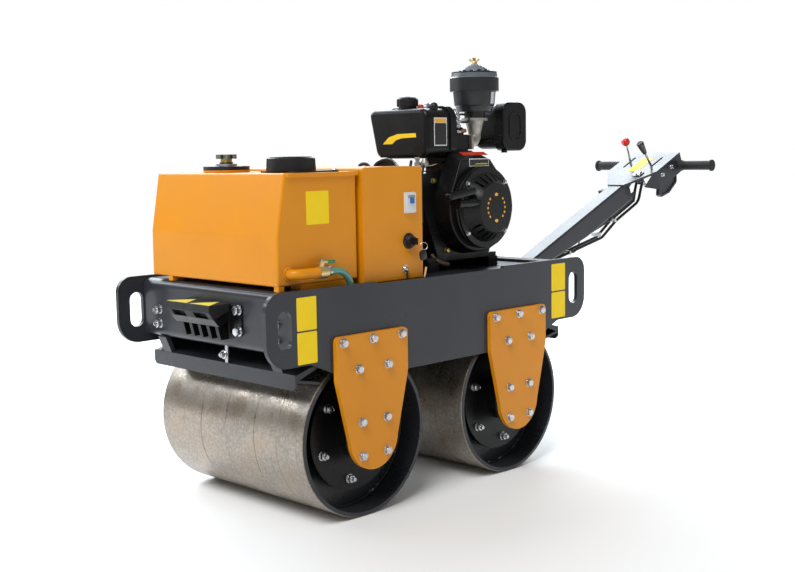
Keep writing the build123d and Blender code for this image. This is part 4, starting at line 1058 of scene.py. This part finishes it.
class ROLLER_OT_box_fittings(Operator):
    """What is on the equipment box and seen over its edge: breaker frame, keys, vent and engine cover"""
    bl_idname = "roller.box_fittings"
    bl_label = "Box fittings"

    def execute(self, context):
        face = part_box("equipment_box")[1].y
        self.breaker(face)
        self.key()
        self.vent(face)
        self.cover()
        return {"FINISHED"}

    def breaker(self, face):
        low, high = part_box("main_breaker")
        rim = block(Vector((low.x - 1.2 * MM, face, low.z - 1.5 * MM)),
                    Vector((high.x + 1.2 * MM, face + 2.4 * MM, high.z + 1.5 * MM)), 0.8)
        finish(rim, "breaker_rim", "white_vinyl")
        window = block(Vector((low.x + 6 * MM, face + 9 * MM, high.z - 14 * MM)),
                       Vector((high.x - 6 * MM, face + 10.6 * MM, high.z - 6 * MM)), 0.4)
        finish(window, "breaker_label", "grey_vinyl")

    def key(self):
        low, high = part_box("key_switch")
        centre = (low + high) / 2
        hang = Vector((centre.x - 27 * MM, high.y - 4 * MM, centre.z - 14 * MM))
        ring = primitive("torus", major_segments=40, minor_segments=8, major_radius=9.5 * MM,
                         minor_radius=0.9 * MM)
        finish(placed(ring, facing(hang, Vector((0.5, 0.9, 0.25)))), "key_ring", "zinc_plate")
        blade = cut_plate([(-3.2, 0), (3.2, 0), (2.4, 22), (3.6, 25), (1.6, 30), (-2.4, 30)], 1.6 * MM,
                          facing(hang + Vector((-6, 0, -56)) * MM, LEFT, Vector((0.25, 0, -1))))
        finish(blade, "key_blade", "brass")
        fob = cut_plate([(-9, -13), (9, -13), (12, -6), (12, 8), (7, 14), (-7, 14), (-12, 8), (-12, -6)],
                        6 * MM, facing(hang + Vector((4, -3, -24)) * MM, LEFT, Vector((0.2, 0, 1))))
        modify(fob, "BEVEL", width=1.6 * MM, segments=2)
        finish(fob, "key_fob", "black_abs")

    def vent(self, face):
        place = at(116, 0, 624)
        place.y = face - 0.3 * MM
        dome = turned([(11, 0), (11, 2.5)] + dome_rings(8.5, 8.0, 2.5), 32, facing(place, LEFT))
        finish(dome, "box_vent", "zinc_plate")
        drain = bent_tube([(0, 7, -6), (0, 9, -14), (0, 8, -27)], 2.6,
                          lambda x, y, z: place + Vector((x, y, z)) * MM)
        finish(drain, "box_drain", "nitrile_rubber")

    def cover(self):
        place = facing(at(-23, 79, 851), FORWARD)
        disc = [(60, 0), (63, 3), (63, 11), (61, 13), (53, 13), (51, 10), (22, 9), (20, 12), (6, 13)]
        finish(turned(disc, 64, place), "engine_cover", "black_enamel")
        band = [(63.6, 4), (64.4, 4.6), (64.4, 8.4), (63.6, 9)]
        finish(turned(band, 64, place), "cover_band", "zinc_plate")
        plug = [(17, 11), (17, 15), (12, 18), (9, 18), (8.4, 22)]
        finish(turned(plug, 6, place), "cover_plug", "brass")
        pipe = ((-30, -44, 872), (-24, -42, 892), (-22, -20, 900), (-24, 4, 894), (-30, 8, 872))
        finish(bent_tube(pipe, 5), "breather_pipe", "nitrile_rubber")


class ROLLER_OT_engine_dress(Operator):
    """Fasteners, labels, pipes and small castings of the engine"""
    bl_idname = "roller.engine_dress"
    bl_label = "Engine dress"

    def execute(self, context):
        sizes = context.scene.roller_fittings
        self.fasteners(sizes)
        self.shroud_labels(sizes.sticker_thickness)
        self.fuel_labels(sizes.sticker_thickness)
        self.disc_marks(sizes.sticker_thickness)
        self.tank_top()
        self.fuel_cap()
        self.fuel_lines()
        self.injector()
        self.cleaner()
        self.wing_nut()
        self.starter_lug()
        return {"FINISHED"}

    def on_starter(self, radius, turn):
        """A place on the recoil starter's left face, at a radius in mm and a turn about its shaft."""
        aim = at(-228 + radius * math.cos(turn), 400, 771 + radius * math.sin(turn))
        return seated("recoil_starter", aim, RIGHT)

    def fasteners(self, sizes):
        places = [seated("crankcase", at(x, 400, z), RIGHT) for x, z in ((-90, 849), (-143, 651))]
        bolt = hex_head(sizes.small_across, height=7 * MM, washer=1.6 * MM)
        finish(copies(bolt, places), "flange_bolts", "yellow_zinc")
        places = [self.on_starter(106, math.radians(turn)) for turn in (41, 139, 221, 319)]
        bolt = hex_head(10 * MM, height=5 * MM, washer=1.4 * MM)
        finish(copies(bolt, places), "starter_bolts", "zinc_plate")
        spots = ((-294, 758), (-222, 828), (-114, 806), (-42, 758), (-90, 664), (-210, 688))
        places = [seated("belt_guard", at(x, -400, z), LEFT) for x, z in spots]
        bolt = hex_head(sizes.small_across, height=7 * MM, washer=1.6 * MM)
        finish(copies(bolt, places), "guard_bolts", "zinc_plate")

    def shroud_labels(self, thick):
        # A blank plate in a pale frame on the shroud's sloping front, and a strip over it.
        base = seated("blower_housing", at(-224, 400, 898), RIGHT)
        finish(cut_plate(oblong(42, 11), thick, base), "shroud_label_white_vinyl", "white_vinyl")
        finish(cut_plate(oblong(39.6, 8.6), thick, raised(base, 0.3)), "shroud_label_black_vinyl",
               "black_vinyl")
        stripe = [(-22, -5.4), (35, -5.4), (35, -2.8), (-12, -2.8)]
        finish(cut_plate(stripe, thick, raised(base, 0.6)), "shroud_label_stripe", "yellow_vinyl")
        base = seated("blower_housing", at(-245, 206, 1000), UP * -1, LEFT)
        finish(cut_plate([(-55, -11), (55, -11), (52, 11), (-52, 11)], thick, base), "shroud_strip",
               "red_vinyl")

    def fuel_labels(self, thick):
        # The side label has a pale frame, a blank field and an orange band at its top.
        base = seated("fuel_tank", at(-111, 400, 985), RIGHT)
        for name, outline, finish_name, lift in (
                ("frame", oblong(26, 39), "white_vinyl", 0),
                ("field", oblong(23.4, 30, 0, -6), "black_vinyl", 0.3),
                ("band", oblong(23.4, 5.6, 0, 31), "amber_vinyl", 0.3)):
            plate = cut_plate(outline, thick, raised(base, lift))
            finish(plate, "fuel_label_" + name, finish_name)
        stripe = [(-68, -19), (-30, -19), (-14, -8), (8, -3), (65, -1.4), (63, 10), (-8, 9), (-44, 0)]
        base = seated("fuel_tank", at(200, 96, 972), BACK)
        finish(cut_plate(stripe, thick, base), "fuel_stripe", "yellow_vinyl")

    def disc_marks(self, thick):
        circle = 37
        marks = []
        for turn in (90, 270):
            oval = turned([(5.6, 0), (5.6, 0.5)], 20)
            oval.scale = (1.25, 0.85, 1)
            marks.append(placed(oval, self.on_starter(circle, math.radians(turn))))
        for middle in (0, 180):
            for n in range(-2, 3):
                t = math.radians(middle + 21 * n)
                place = self.on_starter(circle, t) @ Matrix.Rotation(-t, 4, "Z")
                marks.append(cut_plate(oblong(2.6, 3.2), thick, place))
        finish(joined(marks), "starter_marks", "amber_vinyl")

    def tank_top(self):
        for name, y, rings, finish_name, sides in (
                ("tank_gasket", 124, [(8, -2), (8, 9), (6, 13), (4, 14)], "red_vinyl", 12),
                ("tank_nut", 150, [(11, -2), (11, 7), (9, 9), (9, 13), (6, 16)], "zinc_plate", 6),
                ("tank_vent", 174, [(12, -2), (12, 7)] + dome_rings(11.5, 11.0, 7), "black_abs", 32)):
            place = seat("fuel_tank", at(-115, y, 1150), UP * -1)[0]
            finish(turned(rings, sides, Matrix.Translation(place)), name, finish_name)

    def fuel_cap(self):
        x, y = -103, 83
        rib = cut_plate([(-1.2, -1.0), (1.2, -1.0), (0.7, 0.9), (-0.7, 0.9)], 18 * MM)
        ribs = copies(rib, round_about(at(x, y, 1060), Matrix.Translation((0, 29.8 * MM, 0)), 36))
        rim = turned([(25, 0), (26, 1.6), (24, 2.6), (10, 2.6), (8, 4.2), (3, 4.6)], 48,
                     Matrix.Translation(at(x, y, 1082)))
        finish(joined([ribs, rim]), "fuel_cap_flutes", "black_abs")

    def fuel_lines(self):
        feed = ((-48, 148, 905), (-30, 158, 880), (-26, 172, 840), (-30, 178, 780), (-34, 176, 720),
                (-34, 170, 690))
        finish(bent_tube(feed, 4.2), "fuel_hose", "nitrile_rubber")
        back = ((-70, 186, 915), (-44, 194, 884), (-38, 196, 830), (-40, 194, 770), (-52, 184, 735))
        finish(bent_tube(back, 3.4), "return_hose", "nitrile_rubber")
        union = turned([(7, 0), (9, 1), (9, 9), (6, 10), (6, 17), (8, 18), (8, 24)], 6,
                       facing(at(-50, 170, 892), UP, LEFT))
        cock = turned([(10, 0), (12, 3), (12, 12), (9, 16), (5, 24)], 20,
                      facing(at(-62, 186, 888), UP, LEFT))
        finish(joined([union, cock]), "fuel_cock", "cast_aluminium")
        drain = ((-104, 168, 640), (-112, 182, 624), (-124, 189, 614), (-150, 190, 610))
        finish(bent_tube(drain, 6.5), "oil_drain", "burnt_steel")

    def injector(self):
        x, y = -239, 150
        made = []
        for z, radius in ((982, 12), (998, 9.5), (1010, 12), (1024, 8)):
            collar = [(radius, 0), (radius + 1, 1), (radius + 1, 7), (radius - 1.5, 9)]
            made.append(turned(collar, 20, Matrix.Translation(at(x, y, z))))
        made.append(turned([(7, 0), (7, 64), (5, 70)], 16, Matrix.Translation(at(x, y, 974))))
        finish(joined(made), "injector", "zinc_plate")
        pipe = ((x, y, 1036), (-236, 150, 1050), (-212, 152, 1048), (-196, 156, 1010), (-190, 160, 950),
                (-188, 166, 905), (-150, 160, 896), (-80, 110, 880), (-50, 96, 868))
        finish(bent_tube(pipe, 3.0), "injector_pipe", "zinc_plate")
        loop = ((-248, 158, 1014), (-268, 164, 1012), (-282, 160, 1024), (-276, 154, 1037),
                (-250, 152, 1036))
        finish(bent_tube(loop, 3.4), "leak_hose", "nitrile_rubber")
        union = turned([(6.5, 0), (8, 1), (8, 8), (5.5, 9), (5.5, 16)], 6,
                       facing(at(-252, 152, 988), Vector((-0.8, 0.6, 0.1))))
        finish(union, "return_union", "copper")

    def cleaner(self):
        low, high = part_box("air_cleaner")
        centre = Vector(((low.x + high.x) / 2, (low.y + high.y) / 2, 0))
        slot = cut_plate([(-5.5, -1.6), (5.5, -1.6), (4.5, 1.6), (-4.5, 1.6)], 1.6 * MM)
        lean = Matrix.Rotation(math.radians(62), 4, "X")
        place = Matrix.Translation((0, -43.2 * MM, 1162.5 * MM)) @ lean
        finish(copies(slot, round_about(centre, place, 12)), "cleaner_slots", "black_abs")
        # A blank silver label round the body's left rear, of three flat panels.
        label = []
        for start in (92, 98, 104):
            middle = math.radians(start + 3)
            out = Vector((math.cos(middle), math.sin(middle), 0))
            half = 61.3 * math.tan(math.radians(3)) + 0.3
            place = facing(centre + out * (61.0 * MM) + UP * (1083 * MM), out + UP * -0.09)
            label.append(cut_plate(oblong(half, 17), 0.6 * MM, place))
        finish(joined(label), "cleaner_label", "zinc_plate")

    def wing_nut(self):
        low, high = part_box("air_cleaner")
        crown = Vector(((low.x + high.x) / 2, (low.y + high.y) / 2, high.z - 16.6 * MM))
        wings = [(-4, 0), (4, 0), (7, 3), (15, 9), (17, 13), (13, 16), (8, 12), (4, 6), (-4, 6), (-8, 12),
                 (-13, 16), (-17, 13), (-15, 9), (-7, 3)]
        nut = cut_plate(wings, 4.5 * MM)
        modify(nut, "BEVEL", width=1.0 * MM, segments=2)
        turn = Matrix.Rotation(math.radians(130), 4, "Z") @ Matrix.Rotation(math.radians(90), 4, "X")
        placed(nut, raised(Matrix.Translation(crown) @ turn, -2.2))
        hub = turned([(9, -1), (9, 3), (7, 7), (5.4, 8)], 24, Matrix.Translation(crown))
        finish(joined([nut, hub]), "cleaner_wing_nut", "brass")

    def starter_lug(self):
        plate = cut_plate([(0, 0), (0, 44), (22, 50), (42, 38), (52, 16), (38, -4)], 16 * MM)
        modify(plate, "BEVEL", width=4 * MM, segments=3)
        turn = Matrix(((-1, 0, 0, 0), (0, 0, -1, 0), (0, 1, 0, 0), (0, 0, 0, 1)))
        placed(plate, Matrix.Translation(at(-346, 190, 826)) @ turn)
        finish(plate, "starter_lug", "cast_aluminium")


class ROLLER_OT_handle_dress(Operator):
    """Console's sticker, button, gland and bolts, the pivot's nuts, and the arm's clips, stay and relay"""
    bl_idname = "roller.handle_dress"
    bl_label = "Handle dress"

    def execute(self, context):
        sizes = context.scene.roller_fittings
        self.sticker(sizes.sticker_thickness)
        self.button()
        self.fasteners(sizes)
        self.arm()
        return {"FINISHED"}

    def on_top(self, u, y, w=22.0):
        """A place on the console's top, which lies 22 mm off the arm's middle."""
        return facing(on_arm(u, y, w), OFF_ARM, UP_ARM)

    def sticker(self, thick):
        outline = [(-19, -58), (19, -58), (23, -54), (23, 54), (19, 58), (-19, 58), (-23, 54), (-23, -54)]
        finish(cut_plate(outline, thick, self.on_top(898, 1)), "console_sticker", "yellow_vinyl", "handle")

    def button(self):
        u, y = 816, 41
        base = turned([(22, 0), (23, 1), (21, 2.2)], 48, self.on_top(u, y))
        finish(base, "button_base", "black_abs", "handle")
        collar = primitive("torus", major_segments=48, minor_segments=10, major_radius=17.5 * MM,
                           minor_radius=1.6 * MM)
        finish(placed(collar, self.on_top(u, y, 24.4)), "button_collar", "zinc_plate", "handle")
        body = turned([(13, 0), (13, 22), (10, 26), (10, 34)], 32,
                      facing(on_arm(u, y, 19), OFF_ARM * -1, UP_ARM))
        finish(body, "button_body", "blue_nylon", "handle")

    def fasteners(self, sizes):
        places = [facing(on_arm(u, out * 105, w), LEFT * out, OFF_ARM)
                  for out in (1, -1) for u, w in ((936, -3.6), (869, -3.5))]
        bolt = hex_head(sizes.small_across, height=6 * MM, washer=1.8 * MM)
        finish(copies(bolt, places), "console_bolts", "zinc_plate", "handle")
        places = [seated("handle_pivot", at(-600, out * 200, 490), LEFT * -out) for out in (1, -1)]
        nut = hex_head(24 * MM, height=10 * MM, washer=3 * MM, stud=6 * MM)
        finish(copies(nut, places), "pivot_nuts", "zinc_plate")

    def arm(self):
        clips = []
        for u, w in ((652, -83), (548, -88), (367, -66)):
            clip = block(Vector((-3.5, -20, -7.5)) * MM, Vector((3.5, 20, 7.5)) * MM, 2.0)
            clips.append(placed(clip, facing(on_arm(u, 0, w), OFF_ARM, RIGHT)))
        finish(joined(clips), "cable_clips", "white_vinyl", "handle")
        stay = ((462, 0, -53), (440, 2, -72), (410, 2, -88), (385, 0, -76), (360, 0, -58))
        finish(bent_tube(stay, 2.2, on_arm), "cable_stay", "nitrile_rubber", "handle")
        gland = turned([(8, 0), (9, 2), (9, 10), (7, 12), (7, 20)], 6,
                       facing(on_arm(880, 8, -58), OFF_ARM, UP_ARM))
        finish(gland, "console_gland", "zinc_plate", "handle")
        relay = block(Vector((-13, -10, -14)) * MM, Vector((13, 10, 14)) * MM, 3.0)
        finish(placed(relay, facing(on_arm(697, -41, 2), RIGHT, UP_ARM)), "arm_relay", "black_abs",
               "handle")


class ROLLER_OT_scraper_dress(Operator):
    """Adjusting rod and eye on the outer side of each scraper"""
    bl_idname = "roller.scraper_dress"
    bl_label = "Scraper dress"

    def execute(self, context):
        for end, out in (("front", 1), ("rear", -1)):
            x = out * 527
            rod = bent_tube([(x, 42, 452), (x, 42, 430), (x, 41, 404)], 5.0)
            finish(rod, "scraper_rod_" + end, "zinc_plate")
            eye = turned([(10, -4), (12, -2), (12, 2), (10, 4)], 24,
                         facing(at(x + out * 4, 34, 424), FORWARD))
            nut = placed(hex_head(13 * MM, height=7 * MM, washer=2 * MM, stud=4 * MM),
                         facing(at(x + out * 6, 34, 424), FORWARD * out))
            finish(joined([eye, nut]), "scraper_eye_" + end, "zinc_plate")
        return {"FINISHED"}


OPERATORS = (ROLLER_OT_stage, ROLLER_OT_finishes, ROLLER_OT_bolts, ROLLER_OT_stickers,
             ROLLER_OT_drum_seams, ROLLER_OT_tank_fittings, ROLLER_OT_box_fittings,
             ROLLER_OT_engine_dress, ROLLER_OT_handle_dress, ROLLER_OT_scraper_dress)


class ROLLER_PT_panel(Panel):
    """The roller's settings and steps"""
    bl_idname = "ROLLER_PT_panel"
    bl_label = "Road roller"
    bl_space_type = "VIEW_3D"
    bl_region_type = "UI"
    bl_category = "Roller"

    def draw(self, context):
        for group in SETTINGS:
            settings = getattr(context.scene, group)
            for name in settings.bl_rna.properties.keys():
                if name not in ("rna_type", "name"):
                    self.layout.prop(settings, name)
        for kind in OPERATORS:
            self.layout.operator(kind.bl_idname)


SETTINGS = {"roller_stage": RollerStage, "roller_colours": RollerColours, "roller_fittings": RollerFittings}
CLASSES = (*SETTINGS.values(), *OPERATORS, ROLLER_PT_panel)


def register():
    for kind in CLASSES:
        bpy.utils.register_class(kind)
    for name, group in SETTINGS.items():
        setattr(bpy.types.Scene, name, PointerProperty(type=group))


def unregister():
    for name in SETTINGS:
        delattr(bpy.types.Scene, name)
    for kind in reversed(CLASSES):
        bpy.utils.unregister_class(kind)


def main():
    register()
    bpy.ops.roller.stage()
    bpy.ops.roller.finishes()
    bpy.ops.roller.bolts()
    bpy.ops.roller.stickers()
    bpy.ops.roller.drum_seams()
    bpy.ops.roller.tank_fittings()
    bpy.ops.roller.box_fittings()
    bpy.ops.roller.engine_dress()
    bpy.ops.roller.handle_dress()
    bpy.ops.roller.scraper_dress()


if __name__ == "__main__":
    main()
